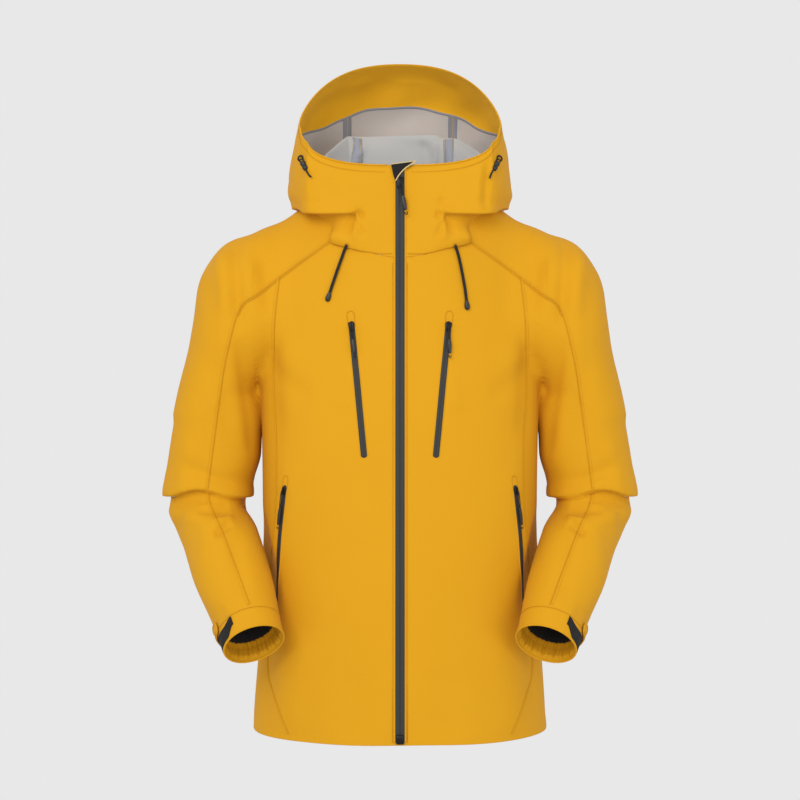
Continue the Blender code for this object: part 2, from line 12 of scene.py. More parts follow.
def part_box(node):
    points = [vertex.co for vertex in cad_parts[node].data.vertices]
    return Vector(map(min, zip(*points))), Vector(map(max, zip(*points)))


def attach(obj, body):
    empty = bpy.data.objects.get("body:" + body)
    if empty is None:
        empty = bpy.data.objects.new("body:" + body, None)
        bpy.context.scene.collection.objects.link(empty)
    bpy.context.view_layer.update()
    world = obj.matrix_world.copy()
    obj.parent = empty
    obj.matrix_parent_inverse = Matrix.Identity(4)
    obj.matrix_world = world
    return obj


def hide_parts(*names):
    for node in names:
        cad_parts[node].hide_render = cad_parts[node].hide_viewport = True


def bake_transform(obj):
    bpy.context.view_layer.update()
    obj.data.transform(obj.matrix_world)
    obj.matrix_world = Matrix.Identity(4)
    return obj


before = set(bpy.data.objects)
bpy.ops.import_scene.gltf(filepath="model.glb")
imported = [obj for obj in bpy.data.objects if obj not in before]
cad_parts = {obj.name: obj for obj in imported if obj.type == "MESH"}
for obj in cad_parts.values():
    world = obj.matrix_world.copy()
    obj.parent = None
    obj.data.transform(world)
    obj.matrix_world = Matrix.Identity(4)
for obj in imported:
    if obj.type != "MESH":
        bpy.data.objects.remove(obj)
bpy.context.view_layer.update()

# Sizes shared with the CAD ----------------------------------------------------------------------
BODY_Y = -0.075            # depth of the shoulders' plane, through the middle of the body
HEM_Z = -0.695
CHIN_Z = 0.069
FRONT_DEPTH = 0.142        # from the shoulders' plane forward to the zip, at the hem
ZIP_LEAN = 0.050           # how much further back the zip is at the chin than at the hem
FOREARM_ROOM = 0.0145      # least room between a forearm and the body's side while both are made

# Body rings from the hem up: height, half width, back depth, squareness
RINGS = np.array([
    (-0.740, 0.2050, 0.128, 2.4),
    (-0.695, 0.2040, 0.128, 2.4),
    (-0.600, 0.1975, 0.130, 2.4),
    (-0.450, 0.1925, 0.134, 2.4),
    (-0.300, 0.1930, 0.140, 2.4),
    (-0.200, 0.1960, 0.142, 2.3),
    (-0.120, 0.1985, 0.138, 2.1),
    (-0.060, 0.1995, 0.124, 1.75),
    (-0.030, 0.1990, 0.112, 1.5),
    (-0.008, 0.1960, 0.103, 1.35),
    (0.006, 0.1840, 0.096, 1.35),
    (0.018, 0.1580, 0.089, 1.45),
    (0.032, 0.1240, 0.081, 1.7),
    (0.044, 0.1010, 0.077, 2.0),
    (0.080, 0.0990, 0.077, 2.0),
])

# Hood rings: fan angle, farthest radius, half width, squareness below and above, rise of the sides
HOOD_PIVOT = (BODY_Y - 0.116, -0.061)
HOOD_RINGS = np.array([
    (26.0, 0.216, 0.098, 2.0, 2.0, 0.044),
    (29.0, 0.250, 0.122, 2.0, 2.0, 0.040),
    (35.0, 0.298, 0.150, 2.1, 2.0, 0.010),
    (47.0, 0.342, 0.156, 2.4, 2.0, -0.012),
    (62.0, 0.333, 0.147, 2.7, 2.0, -0.006),
    (80.0, 0.272, 0.1355, 3.0, 2.0, 0.000),
])
RIM_ANGLE = 79.6
RIM_LEAN = 17.6            # how much further back the rim is at the crown than at the chin
LEAN_ANGLE = 47.0          # fan angle past which the hood leans back
LEAN_TURN = math.radians(60)   # turn past which it leans back

# Upper sleeve rings: centre x and z, lean of the outer side, half width, half depth
SLEEVE = [
    (0.1700, -0.1150, 90.0, 0.0960, 0.080),
    (0.2000, -0.1180, 86.0, 0.1010, 0.083),
    (0.2245, -0.1260, 76.5, 0.0990, 0.084),
    (0.2430, -0.1600, 61.0, 0.0840, 0.080),
    (0.2520, -0.2125, 37.0, 0.0620, 0.073),
    (0.2640, -0.2670, 8.0, 0.0580, 0.067),
    (0.2690, -0.3065, 5.0, 0.0605, 0.065),
    (0.2715, -0.3450, 4.6, 0.0622, 0.063),
]
ELBOW = np.array((0.2720, BODY_Y, -0.3850))
WRIST = np.array((0.1960, BODY_Y - 0.155, -0.5640))


# Numbers ----------------------------------------------------------------------------------------
def curve(table, key):
    """Columns of a table read at key, on a smooth curve through its rows; key may be an array."""
    x, rows = table[:, 0], table[:, 1:]
    slope = np.gradient(rows, x, axis=0)
    key = np.clip(np.asarray(key, float), x[0], x[-1])
    i = np.clip(np.searchsorted(x, key, side="right") - 1, 0, len(x) - 2)
    span = (x[i + 1] - x[i])[..., None]
    t = (key - x[i])[..., None] / span
    return (
        rows[i] * (2 * t**3 - 3 * t**2 + 1)
        + slope[i] * span * (t**3 - 2 * t**2 + t)
        + rows[i + 1] * (3 * t**2 - 2 * t**3)
        + slope[i + 1] * span * (t**3 - t**2)
    )


def power(value, exponent):
    """Power that keeps the sign."""
    return np.sign(value) * np.abs(value) ** exponent


def smooth(low, high, value):
    """A soft step from 0 at low to 1 at high."""
    t = np.clip((np.asarray(value, float) - low) / (high - low), 0, 1)
    return t * t * (3 - 2 * t)


def bump(value, centre, width):
    """A soft bump of height one."""
    return np.exp(-(((np.asarray(value, float) - centre) / width) ** 2))


def unit(v):
    """Vectors at length one."""
    v = np.asarray(v, float)
    return v / np.maximum(np.linalg.norm(v, axis=-1, keepdims=True), 1e-12)


def bezier(t, corners):
    """The point at t of the cubic curve with four control points."""
    weights = ((1 - t) ** 3, 3 * t * (1 - t) ** 2, 3 * t * t * (1 - t), t**3)
    return sum(weight * corner for weight, corner in zip(weights, corners))


def distances(points):
    """How far each point is from the first, along the line through them."""
    return np.concatenate([[0], np.cumsum(np.linalg.norm(np.diff(points, axis=0), axis=1))])


def full_turn(count):
    """Equal steps round a circle, without the last one."""
    return np.linspace(0, 2 * math.pi, count, endpoint=False)


def front_y(z):
    """Depth of the jacket's front along the zip."""
    return BODY_Y - FRONT_DEPTH + ZIP_LEAN * (z - HEM_Z) / (CHIN_Z - HEM_Z)


# Surfaces ---------------------------------------------------------------------------------------
def body_ring(z, count=96):
    """A level ring of the body."""
    angle = full_turn(count)
    half_width, back, square = curve(RINGS, z)
    depth = np.where(np.cos(angle) > 0, BODY_Y - front_y(z), back)
    x = half_width * power(np.sin(angle), 2 / square)
    y = BODY_Y - depth * power(np.cos(angle), 2 / square)
    return np.stack([x, y, np.full(count, z)], axis=1)


def body_value(points):
    """1 on the body's surface, less inside, more outside."""
    x, y, z = points.T
    half_width, back, square = curve(RINGS, z).T
    depth = np.where(y < BODY_Y, BODY_Y - front_y(z), back)
    return (np.abs(x) / half_width) ** square + (np.abs(y - BODY_Y) / depth) ** square


def ring_at(centre, across, toward, half_width, half_depth, count=64):
    """An oval ring with its own two directions."""
    turn = full_turn(count)[:, None]
    return centre + across * half_width * np.cos(turn) + toward * half_depth * np.sin(turn)


FRONT = np.array((0.0, -1.0, 0.0))
ALONG = unit(WRIST - ELBOW)
ACROSS = unit(np.cross(ALONG, FRONT))
ACROSS = ACROSS if ACROSS[0] > 0 else -ACROSS
TOWARD = unit(np.cross(ACROSS, ALONG))
TOWARD = TOWARD if TOWARD[1] < 0 else -TOWARD
# Forearm: distance from the elbow, radius
FOREARM_WIDTHS = np.array([
    (0.0, 0.0590),
    (0.08, 0.0560),
    (0.16, 0.0490),
    (0.25, 0.0418),
    (0.30, 0.0405),
    (0.36, 0.040),
])
ARM_LENGTH = np.linalg.norm(WRIST - ELBOW)
ELBOW_OVALS = ((0.0622, 0.063), (0.0585, 0.0605))    # half width and depth above and below the elbow


def sleeve_rings():
    """Rings of one sleeve, from inside the body to past the cuff."""
    table = np.array([(i,) + row for i, row in enumerate(SLEEVE)])
    rings = []
    for key in np.linspace(0, len(SLEEVE) - 1, 40):
        x, z, lean, half_width, half_depth = curve(table, key)
        lean = math.radians(lean)
        across = np.array((math.cos(lean), 0, math.sin(lean)))
        rings.append(ring_at(np.array((x, BODY_Y, z)), across, FRONT, half_width, half_depth))
    start = np.array((SLEEVE[-1][0], BODY_Y, SLEEVE[-1][1]))
    lean = math.radians(SLEEVE[-1][2])
    first_across = np.array((math.cos(lean), 0, math.sin(lean)))
    first_along = np.array((math.sin(lean), 0, -math.cos(lean)))
    past = ELBOW + ALONG * 0.052
    reach = 0.040
    bend = (start, start + first_along * reach, past - ALONG * reach, past)
    above, below = ELBOW_OVALS
    for t in np.linspace(0.12, 1, 9):
        blend = smooth(0, 1, t)
        across = unit(first_across * (1 - blend) + ACROSS * blend)
        toward = unit(FRONT * (1 - blend) + TOWARD * blend)
        half_width, half_depth = (a * (1 - t) + b * t for a, b in zip(above, below))
        rings.append(ring_at(bezier(t, bend), across, toward, half_width, half_depth))
    for along in np.linspace(0.062, ARM_LENGTH + 0.035, 24):
        width = curve(FOREARM_WIDTHS, along)[0]
        rings.append(ring_at(ELBOW + ALONG * along, ACROSS, TOWARD, width, width))
    return rings


def chin_radius(fan):
    """Distance from the hood's pivot to the line of the zip, at a fan angle."""
    lean = ZIP_LEAN / (CHIN_Z - HEM_Z)
    return (front_y(HOOD_PIVOT[1]) - HOOD_PIVOT[0]) / (np.cos(fan) - lean * np.sin(fan))


def hood_points(turn, angle):
    """Points of the hood; turn 0 is under the chin and pi the crown, angle fans from neck to rim."""
    turn, angle = np.broadcast_arrays(np.asarray(turn, float), np.asarray(angle, float))
    lean = smooth(LEAN_ANGLE, RIM_ANGLE, angle) * smooth(LEAN_TURN, math.pi, np.arccos(np.cos(turn)))
    angle = angle - RIM_LEAN * lean
    far, half_width, below, above, rise = np.moveaxis(curve(HOOD_RINGS, angle), -1, 0)
    fan = np.radians(angle)
    near = chin_radius(fan)
    middle, half = (near + far) / 2, (far - near) / 2
    square = np.where(np.cos(turn) > 0, below, above)
    radius = middle - half * power(np.cos(turn), 2 / square)
    x = half_width * power(np.sin(turn), 2 / square)
    y = HOOD_PIVOT[0] + radius * np.cos(fan)
    z = HOOD_PIVOT[1] + radius * np.sin(fan) + rise * np.abs(np.sin(turn)) ** 3
    return np.stack([x, y, z], axis=-1)


# Mesh tools -------------------------------------------------------------------------------------
def new_mesh(name, points, faces):
    """A new object in the scene from points and faces."""
    data = bpy.data.meshes.new(name)
    data.from_pydata([tuple(p) for p in np.asarray(points).reshape(-1, 3)], [], faces)
    data.update()
    return link(name, data)


def link(name, data):
    """A new object in the scene from its data."""
    made = bpy.data.objects.new(name, data)
    bpy.context.scene.collection.objects.link(made)
    return made


def grid_faces(rows, columns, closed=True):
    """Faces of a grid of points; a closed one joins its last column to the first."""
    faces = []
    for r in range(rows - 1):
        for c in range(columns if closed else columns - 1):
            d = (c + 1) % columns
            faces.append((r * columns + c, r * columns + d, (r + 1) * columns + d, (r + 1) * columns + c))
    return faces


def loft(name, rings, cap=True):
    """A closed tube through rings of equal count."""
    count = len(rings[0])
    faces = grid_faces(len(rings), count)
    if cap:
        faces.append(tuple(range(count))[::-1])
        faces.append(tuple((len(rings) - 1) * count + i for i in range(count)))
    made = new_mesh(name, np.concatenate(rings), faces)
    outward(made)
    return made


def edit(obj):
    """An object's mesh opened for editing; done() puts it back."""
    mesh = bmesh.new()
    mesh.from_mesh(obj.data)
    return mesh


def done(obj, mesh):
    """Put an edited mesh back into its object."""
    mesh.to_mesh(obj.data)
    mesh.free()
    obj.data.update()


def outward(obj):
    """Turn all faces to look out."""
    mesh = edit(obj)
    bmesh.ops.recalc_face_normals(mesh, faces=mesh.faces)
    done(obj, mesh)


def drop_faces(mesh, gone):
    """Delete the faces of a mask and the vertices they leave behind."""
    bmesh.ops.delete(mesh, geom=[f for f, out in zip(mesh.faces, gone) if out], context="FACES")
    bmesh.ops.delete(mesh, geom=[v for v in mesh.verts if not v.link_faces], context="VERTS")


def apply_modifiers(obj):
    """Replace an object's mesh by what its modifiers make of it."""
    bpy.context.view_layer.update()
    graph = bpy.context.evaluated_depsgraph_get()
    data = bpy.data.meshes.new_from_object(obj.evaluated_get(graph))
    obj.modifiers.clear()
    old = obj.data
    obj.data = data
    bpy.data.meshes.remove(old)
    return obj


def triples(items, name):
    """A vector attribute of all items of a mesh, one row each."""
    out = np.empty(len(items) * 3)
    items.foreach_get(name, out)
    return out.reshape(-1, 3)


def points_of(obj):
    """Coordinates of all vertices."""
    return triples(obj.data.vertices, "co")


def set_points(obj, points):
    """Move all vertices."""
    obj.data.vertices.foreach_set("co", np.asarray(points, float).ravel())
    obj.data.update()


def normals_of(obj):
    """Normals of all vertices."""
    return triples(obj.data.vertices, "normal")


def shade_smooth(obj):
    """Shade all faces smooth."""
    obj.data.polygons.foreach_set("use_smooth", np.ones(len(obj.data.polygons), bool))
    obj.data.update()


def dress(obj, look):
    """Give a piece its look and smooth shading."""
    obj.data.materials.append(look)
    shade_smooth(obj)
    return obj


def fasten(piece, body, slot, *nodes):
    """Fasten a piece to a body and hide the CAD nodes it replaces; its slot is not used."""
    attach(piece, body)
    if nodes:
        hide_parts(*nodes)


# Shell cloth ------------------------------------------------------------------------------------
VOXEL = 0.0055             # mesh size of the union of body and sleeves
HEM_SPARE = 0.003          # cloth below the hem line
NECK_LOW = -0.075          # lowest height at which the neck is cut
ARM_LOW = -0.238           # height of the armpits


def union_mesh(name, parts, voxel):
    """One smooth closed surface round several overlapping closed ones."""
    mesh = bmesh.new()
    for part in parts:
        mesh.from_mesh(part.data)
        bpy.data.objects.remove(part)
    data = bpy.data.meshes.new(name)
    mesh.to_mesh(data)
    mesh.free()
    made = link(name, data)
    remesh = made.modifiers.new("remesh", "REMESH")
    remesh.mode = "VOXEL"
    remesh.voxel_size = voxel
    remesh.use_smooth_shade = True
    soften = made.modifiers.new("soften", "SMOOTH")
    soften.factor = 0.5
    soften.iterations = 6
    return apply_modifiers(made)


def slice_plane(obj, place, normal, touch=None):
    """Cut along a plane and drop what lies on the normal's side, among the vertices of a mask."""
    mesh = edit(obj)
    if touch is None:
        geometry = list(mesh.verts) + list(mesh.edges) + list(mesh.faces)
    else:
        geometry = [v for v, wanted in zip(mesh.verts, touch) if wanted]
        chosen = set(geometry)
        geometry += [e for e in mesh.edges if e.verts[0] in chosen and e.verts[1] in chosen]
        geometry += [f for f in mesh.faces if all(v in chosen for v in f.verts)]
    bmesh.ops.bisect_plane(mesh, geom=geometry, plane_co=place, plane_no=normal, clear_outer=True, dist=1e-6)
    done(obj, mesh)


def inside_loop(points, loop):
    """Which points lie inside a closed loop, both seen from above."""
    x, y = points[:, :1], points[:, 1:2]
    ax, ay = loop[:, 0], loop[:, 1]
    bx, by = np.roll(ax, -1), np.roll(ay, -1)
    crosses = (ay > y) != (by > y)
    with np.errstate(divide="ignore", invalid="ignore"):
        at = ax + (y - ay) * (bx - ax) / (by - ay)
    return (np.sum(crosses & (x < at), axis=1) % 2) == 1


def store(obj, name, values):
    """Keep one value per vertex with the mesh."""
    attribute = obj.data.attributes.new(name, "FLOAT", "POINT")
    attribute.data.foreach_set("value", np.asarray(values, np.float32))


def stored(obj, name):
    """The values kept under a name."""
    out = np.empty(len(obj.data.vertices), np.float32)
    obj.data.attributes[name].data.foreach_get("value", out)
    return out


def face_means(obj, values):
    """Mean of a value over each face's corners."""
    data = obj.data
    corners = np.empty(len(data.loops), int)
    data.loops.foreach_get("vertex_index", corners)
    starts = np.empty(len(data.polygons), int)
    data.polygons.foreach_get("loop_start", starts)
    totals = np.empty(len(data.polygons), int)
    data.polygons.foreach_get("loop_total", totals)
    return np.add.reduceat(np.asarray(values, float)[corners], starts) / totals


HOOD_ACROSS, HOOD_UP = 400, 170    # points of the hood's grid round and from neck to rim
NECK_ANGLE = 26.0          # fan angle of the neck, where the hood starts
NECK_LOOP = hood_points(full_turn(HOOD_ACROSS), NECK_ANGLE)


def forearm_room(points):
    """Free distance from points to the nearer forearm's cloth, and the direction away from it."""
    side = np.stack([np.sign(points[:, 0]), np.ones(len(points)), np.ones(len(points))], axis=1)
    offset = points * side - ELBOW
    along = np.clip(offset @ ALONG, 0.020, 0.300)
    away = offset - along[:, None] * ALONG
    distance = np.linalg.norm(away, axis=1)
    width = np.interp(along, FOREARM_WIDTHS[:, 0], FOREARM_WIDTHS[:, 1])
    return distance - width, away / distance[:, None] * side


def make_room(ring):
    """Press the body's side in where the forearm rests against it."""
    room, away = forearm_room(ring)
    press = np.maximum(FOREARM_ROOM - room, 0) * smooth(-0.335, -0.365, ring[:, 2])
    return ring + away * press[:, None]


def shell_surface():
    """Body and both sleeves as one surface, cut open at the hem, neck and cuffs."""
    parts = [loft("body_form", [make_room(body_ring(z)) for z in np.linspace(-0.735, 0.075, 110)])]
    for side in (1, -1):
        parts.append(loft("sleeve_form", [ring * (side, 1, 1) for ring in sleeve_rings()]))
    shell = union_mesh("shell", parts, VOXEL)
    points = points_of(shell)
    low = points[:, 2] < ARM_LOW
    arm = np.where(low, body_value(points) > 1.05, np.abs(points[:, 0]) > 0.2)
    forearm = (forearm_room(points)[0] < FOREARM_ROOM / 2) & (points[:, 2] < -0.345)
    arm = arm | forearm
    store(shell, "arm", arm)
    slice_plane(shell, (0, 0, HEM_Z - HEM_SPARE), (0, 0, -1))
    for side in (1, -1):
        points = points_of(shell)
        near = (body_value(points) > 1.08) & (points[:, 0] * side > 0.1) & (points[:, 2] < -0.45)
        slice_plane(shell, WRIST * (side, 1, 1), ALONG * (side, 1, 1), touch=near)
    points = points_of(shell)
    outer = np.abs(points[:, 0])
    shoulder = smooth(0.125, 0.165, outer) * (1 - smooth(0.250, 0.285, outer))
    shoulder = shoulder * smooth(-0.175, -0.100, points[:, 2])
    relax(shell, shoulder, 70)
    relax(shell, 0.6 * (stored(shell, "arm") > 0.5) * smooth(-0.10, -0.16, points_of(shell)[:, 2]), 8)
    divide = shell.modifiers.new("divide", "SUBSURF")
    divide.levels = 1
    divide.render_levels = 1
    apply_modifiers(shell)
    cut_neck(shell)
    return shell


def relax(obj, weight, rounds):
    """Even out the vertices by their neighbours, as far as the weight says."""
    points = points_of(obj)
    ends = np.empty(len(obj.data.edges) * 2, int)
    obj.data.edges.foreach_get("vertices", ends)
    first, second = ends[::2], ends[1::2]
    degree = np.maximum(np.bincount(ends, minlength=len(points)), 1)[:, None]
    for _ in range(rounds):
        total = np.zeros_like(points)
        for axis in range(3):
            total[:, axis] += np.bincount(first, points[second, axis], len(points))
            total[:, axis] += np.bincount(second, points[first, axis], len(points))
        points += (total / degree - points) * weight[:, None]
    set_points(obj, points)


def cut_neck(shell):
    """Open the shell inside the neck's loop and draw its edge onto the loop."""
    mesh = edit(shell)
    centres = np.array([f.calc_center_median() for f in mesh.faces])
    drop_faces(mesh, (centres[:, 2] > NECK_LOW) & inside_loop(centres, NECK_LOOP))
    for vertex in mesh.verts:
        if vertex.is_boundary and vertex.co.z > NECK_LOW - 0.025:
            away = np.linalg.norm(NECK_LOOP - np.array(vertex.co), axis=1)
            vertex.co = Vector(NECK_LOOP[away.argmin()])
    done(shell, mesh)


# Folds ------------------------------------------------------------------------------------------
CREASE_Z = -0.3655         # elbow fold in front
ARM_TOUCH = (ARM_LOW, -0.285, -0.335, -0.395)    # heights: start, full, leaving and free of the body
ARM_GAP = 0.009            # how far the sleeves come in between armpit and elbow,
FOREARM_IN = 0.0065        # the forearms all the way to the cuffs,
INNER_IN = 0.0062          # the inner side of the upper sleeves,
ELBOW_IN = 0.0075          # and the outer side just below the elbow
ELBOW_FLARE = 0.0028       # how far the upper sleeve stands out over the elbow fold
ELBOW_LIP = 0.0036         # height of the elbow fold's lip
ELBOW_TUCK = 0.0115        # depth of the cloth tucked in under it
FOLD_STRENGTH = 1.35       # all folds of body and sleeves, against their tables
SHOULDER_LIFTS = (0.0055, 0.0105)    # padding over the shoulder's top and over the sleeve's head


def close_arm_gap(points, arm):
    """Bring the sleeves back to the body between the armpit and the elbow."""
    start, full, leave, free = ARM_TOUCH
    z = points[:, 2]
    share = np.where(z > leave, smooth(start, full, z), 1 - smooth(leave, free, z))
    outer = smooth(0.235, 0.262, np.abs(points[:, 0])) * smooth(-0.065, -0.130, z)
    share = np.where(z > full, np.maximum(share, 0.62 * outer), share)
    sign = np.sign(points[:, 0]) * (arm > 0.5)
    points[:, 0] -= sign * ARM_GAP * share
    points[:, 0] -= sign * FOREARM_IN * smooth(-0.400, -0.500, z)
    inner = smooth(-0.232, -0.250, z) * (1 - smooth(-0.318, -0.352, z))
    points[:, 0] -= sign * INNER_IN * inner * (1 - smooth(0.212, 0.245, np.abs(points[:, 0])))
    below = smooth(-0.397, -0.420, z) * (1 - smooth(-0.440, -0.500, z))
    points[:, 0] -= sign * ELBOW_IN * smooth(0.255, 0.290, np.abs(points[:, 0])) * below
    flare = bump(z, -0.352, 0.024) * smooth(0.262, 0.300, np.abs(points[:, 0]))
    points[:, 0] += sign * ELBOW_FLARE * flare
    return points


def fold(x, z, start, end, width, depth):
    """A soft ridge (depth above 0) or valley along a line seen from the front, fading at its ends."""
    dx, dz = end[0] - start[0], end[1] - start[1]
    length = math.hypot(dx, dz)
    along = ((x - start[0]) * dx + (z - start[1]) * dz) / length**2
    across = ((x - start[0]) * dz - (z - start[1]) * dx) / length
    ends = smooth(-0.12, 0.25, along) * (1 - smooth(0.75, 1.12, along))
    return depth * np.exp(-((across / width) ** 2)) * ends


def ripple(points, seed, scale):
    """Smooth irregular waves from a few seeded sines."""
    count = 14
    chance = np.random.default_rng(seed)
    total = np.zeros(len(points))
    for _ in range(count):
        direction = unit(chance.normal(size=3))
        wave = scale * chance.uniform(0.6, 1.6)
        total += np.sin(points @ direction * 2 * math.pi / wave + chance.uniform(0, 2 * math.pi))
    return total / math.sqrt(count / 2)


# Ridges and valleys of the front: start and end (x out from the middle, z), width, depth
SLEEVE_FOLDS = [
    ((0.226, -0.015), (0.217, -0.150), 0.0100, -0.0045),
    ((0.243, -0.040), (0.236, -0.130), 0.0120, 0.0030),
    ((0.219, -0.160), (0.200, -0.330), 0.0090, -0.0030),
    ((0.252, -0.180), (0.232, -0.300), 0.0160, -0.0025),
    ((0.300, -0.330), (0.225, -0.365), 0.0100, -0.0025),
    ((0.285, -0.300), (0.300, -0.370), 0.0120, 0.0020),
    ((0.230, -0.386), (0.275, -0.392), 0.0060, -0.0030),
    ((0.222, -0.398), (0.252, -0.406), 0.0055, 0.0035),
    ((0.226, -0.410), (0.248, -0.424), 0.0060, -0.0040),
    ((0.300, -0.395), (0.312, -0.440), 0.0080, -0.0030),
    ((0.222, -0.425), (0.208, -0.500), 0.0120, -0.0028),
    ((0.285, -0.440), (0.262, -0.520), 0.0200, 0.0022),
    ((0.255, -0.540), (0.225, -0.520), 0.0120, -0.0020),
]
BODY_FOLDS = [
    ((0.186, -0.050), (0.176, -0.130), 0.0130, -0.0040),
    ((0.165, -0.095), (0.150, -0.220), 0.0180, 0.0025),
    ((0.178, -0.140), (0.168, -0.300), 0.0140, -0.0030),
    ((0.188, -0.190), (0.120, -0.245), 0.0160, -0.0020),
    ((0.066, -0.205), (0.078, -0.260), 0.0120, 0.0014),
    ((0.150, -0.330), (0.166, -0.470), 0.0180, 0.0020),
    ((0.178, -0.480), (0.184, -0.680), 0.0160, -0.0035),
    ((0.130, -0.560), (0.150, -0.690), 0.0220, 0.0025),
    ((0.060, -0.600), (0.064, -0.690), 0.0240, -0.0018),
]


def elbow_fold(points, normals, arm):
    """The upper sleeve hangs over the forearm in a sharp crease, all along the front of the elbow."""
    x, y, z = points.T
    crease = CREASE_Z - 0.013 * smooth(0.268, 0.205, np.abs(x)) - 0.010 * smooth(0.272, 0.335, np.abs(x))
    crease = crease + 0.0010 * np.sin(np.abs(x) * 95)
    front = smooth(BODY_Y + 0.045, BODY_Y + 0.005, y) * arm
    above = z - crease
    lip = np.exp(-((above - 0.006) / 0.0075) ** 2)
    tuck = smooth(0.0025, -0.0015, above) * (1 - smooth(-0.006, -0.045, above))
    lip = lip * (1 - 0.7 * smooth(0.290, 0.325, np.abs(x)))
    points = points + normals * (front * (ELBOW_LIP * lip - ELBOW_TUCK * tuck))[:, None]
    points[:, 2] -= front * 0.0052 * np.exp(-((above - 0.0035) / 0.0050) ** 2)
    points[:, 2] += front * 0.0030 * np.exp(-((above + 0.0045) / 0.0040) ** 2)
    return points


def sculpt_shell(shell):
    """Folds, dents and padding of the body and the sleeves."""
    arm = np.clip(stored(shell, "arm"), 0, 1)
    points = close_arm_gap(points_of(shell), arm)
    set_points(shell, points)
    normals = normals_of(shell)
    x, z = np.abs(points[:, 0]), points[:, 2]
    facing = smooth(0.0, 0.6, -normals[:, 1])
    lift = np.zeros(len(points))
    for start, end, width, depth in SLEEVE_FOLDS:
        on_sleeve = np.maximum(arm, z > -0.16)
        lift += FOLD_STRENGTH * fold(x, z, start, end, width, depth) * facing * on_sleeve
    for start, end, width, depth in BODY_FOLDS:
        lift += FOLD_STRENGTH * fold(x, z, start, end, width, depth) * facing * (1 - arm)
    calm = smooth(0.012, 0.05, x) * smooth(HEM_Z, HEM_Z + 0.02, z)
    lift += 0.0005 * ripple(points, 3, 0.16) * calm
    lift += 0.0004 * ripple(points, 5, 0.10) * arm * calm * facing
    top, head = SHOULDER_LIFTS
    lift += top * bump(x, 0.188, 0.020) * smooth(-0.060, -0.020, z) * smooth(0.2, 0.7, normals[:, 2])
    lift += head * bump(x, 0.232, 0.034) * smooth(-0.115, -0.060, z) * smooth(-0.2, 0.5, normals[:, 2])
    back = smooth(0.0, 0.6, normals[:, 1])
    lift += 0.0016 * ripple(points, 9, 0.20) * back
    lift += back * fold(points[:, 0], z, (0.0, -0.02), (0.01, -0.30), 0.020, -0.0020)
    neck = np.full(len(points), 1.0)
    close = z > -0.11
    away = np.min(np.linalg.norm(points[close][:, None, :] - NECK_LOOP[None, ::4, :], axis=2), axis=1)
    neck[close] = smooth(0.003, 0.030, away)
    points = points + normals * (lift * neck)[:, None]
    points[:, 1] += 0.0020 * np.sin(points[:, 0] * 38 + 0.6) * smooth(-0.62, HEM_Z, z) * (1 - arm) * facing
    set_points(shell, points)
    set_points(shell, elbow_fold(points, normals_of(shell), arm))


CLOTH = 0.0011             # thickness of the shell cloth


def thicken(obj, inner_slot=1, thickness=CLOTH):
    """Give an open surface its thickness, inward, with the inner side in a material slot of its own."""
    solid = obj.modifiers.new("solid", "SOLIDIFY")
    solid.thickness = thickness
    solid.offset = -1
    solid.material_offset = inner_slot
    solid.material_offset_rim = 0
    return apply_modifiers(obj)


# Riding on the bodies ---------------------------------------------------------------------------
SHOULDER_EDGE = np.array((0.202, 0.0, -0.2505))    # the sleeve begins at a plane through this point,
SHOULDER_AWAY = unit((0.924, 0.0, -0.382))         # square to this direction,
SPLIT_Z = -0.3400                                  # height that parts upper sleeve and forearm
NORMAL_NAMES = ("nx", "ny", "nz")


def region_of(points, arm):
    """0 for the body, 1 and 2 for the upper and lower stretch of a sleeve."""
    outer = np.abs(points[:, 0])
    past = (outer - SHOULDER_EDGE[0]) * SHOULDER_AWAY[0]
    past += (points[:, 2] - SHOULDER_EDGE[2]) * SHOULDER_AWAY[2]
    sleeve = np.where(points[:, 2] < SHOULDER_EDGE[2], arm > 0.5, past > 0)
    return np.where(sleeve, np.where(points[:, 2] < SPLIT_Z, 2, 1), 0)


def ride_with_sleeves(obj, arm=None):
    """Split a piece of the shell into what rides on the body and the upper and lower stretch of each sleeve,
    which stay unattached.
    """
    centres = triples(obj.data.polygons, "center")
    if arm is None:
        arm = (body_value(centres) > 1.03) | (np.abs(centres[:, 0]) > 0.204)
    kind = region_of(centres, arm) * np.where(centres[:, 0] > 0, 1, -1)
    for values, attribute in zip(normals_of(obj).T, NORMAL_NAMES):
        store(obj, attribute, values)
    made = []
    for value in np.unique(kind):
        piece = obj.copy()
        piece.data = obj.data.copy()
        bpy.context.scene.collection.objects.link(piece)
        word = "left" if value > 0 else "right"
        suffix = {0: "body", 1: f"upper_{word}", 2: f"lower_{word}"}[abs(int(value))]
        piece.name = f"{obj.name}_{suffix}"
        mesh = edit(piece)
        drop_faces(mesh, kind != value)
        done(piece, mesh)
        custom = np.stack([stored(piece, attribute) for attribute in NORMAL_NAMES], axis=1)
        piece.data.normals_split_custom_set_from_vertices([tuple(n) for n in custom])
        for attribute in NORMAL_NAMES:
            piece.data.attributes.remove(piece.data.attributes[attribute])
        if value == 0:
            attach(piece, "torso")
        elif abs(value) == 1:
            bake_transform(piece)
        else:
            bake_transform(piece)
        made.append(piece)
    bpy.data.objects.remove(obj)
    return made


# Hood -------------------------------------------------------------------------------------------
FOLD_NEAR = 0.056          # how far out from the middle the hood's lower fold begins


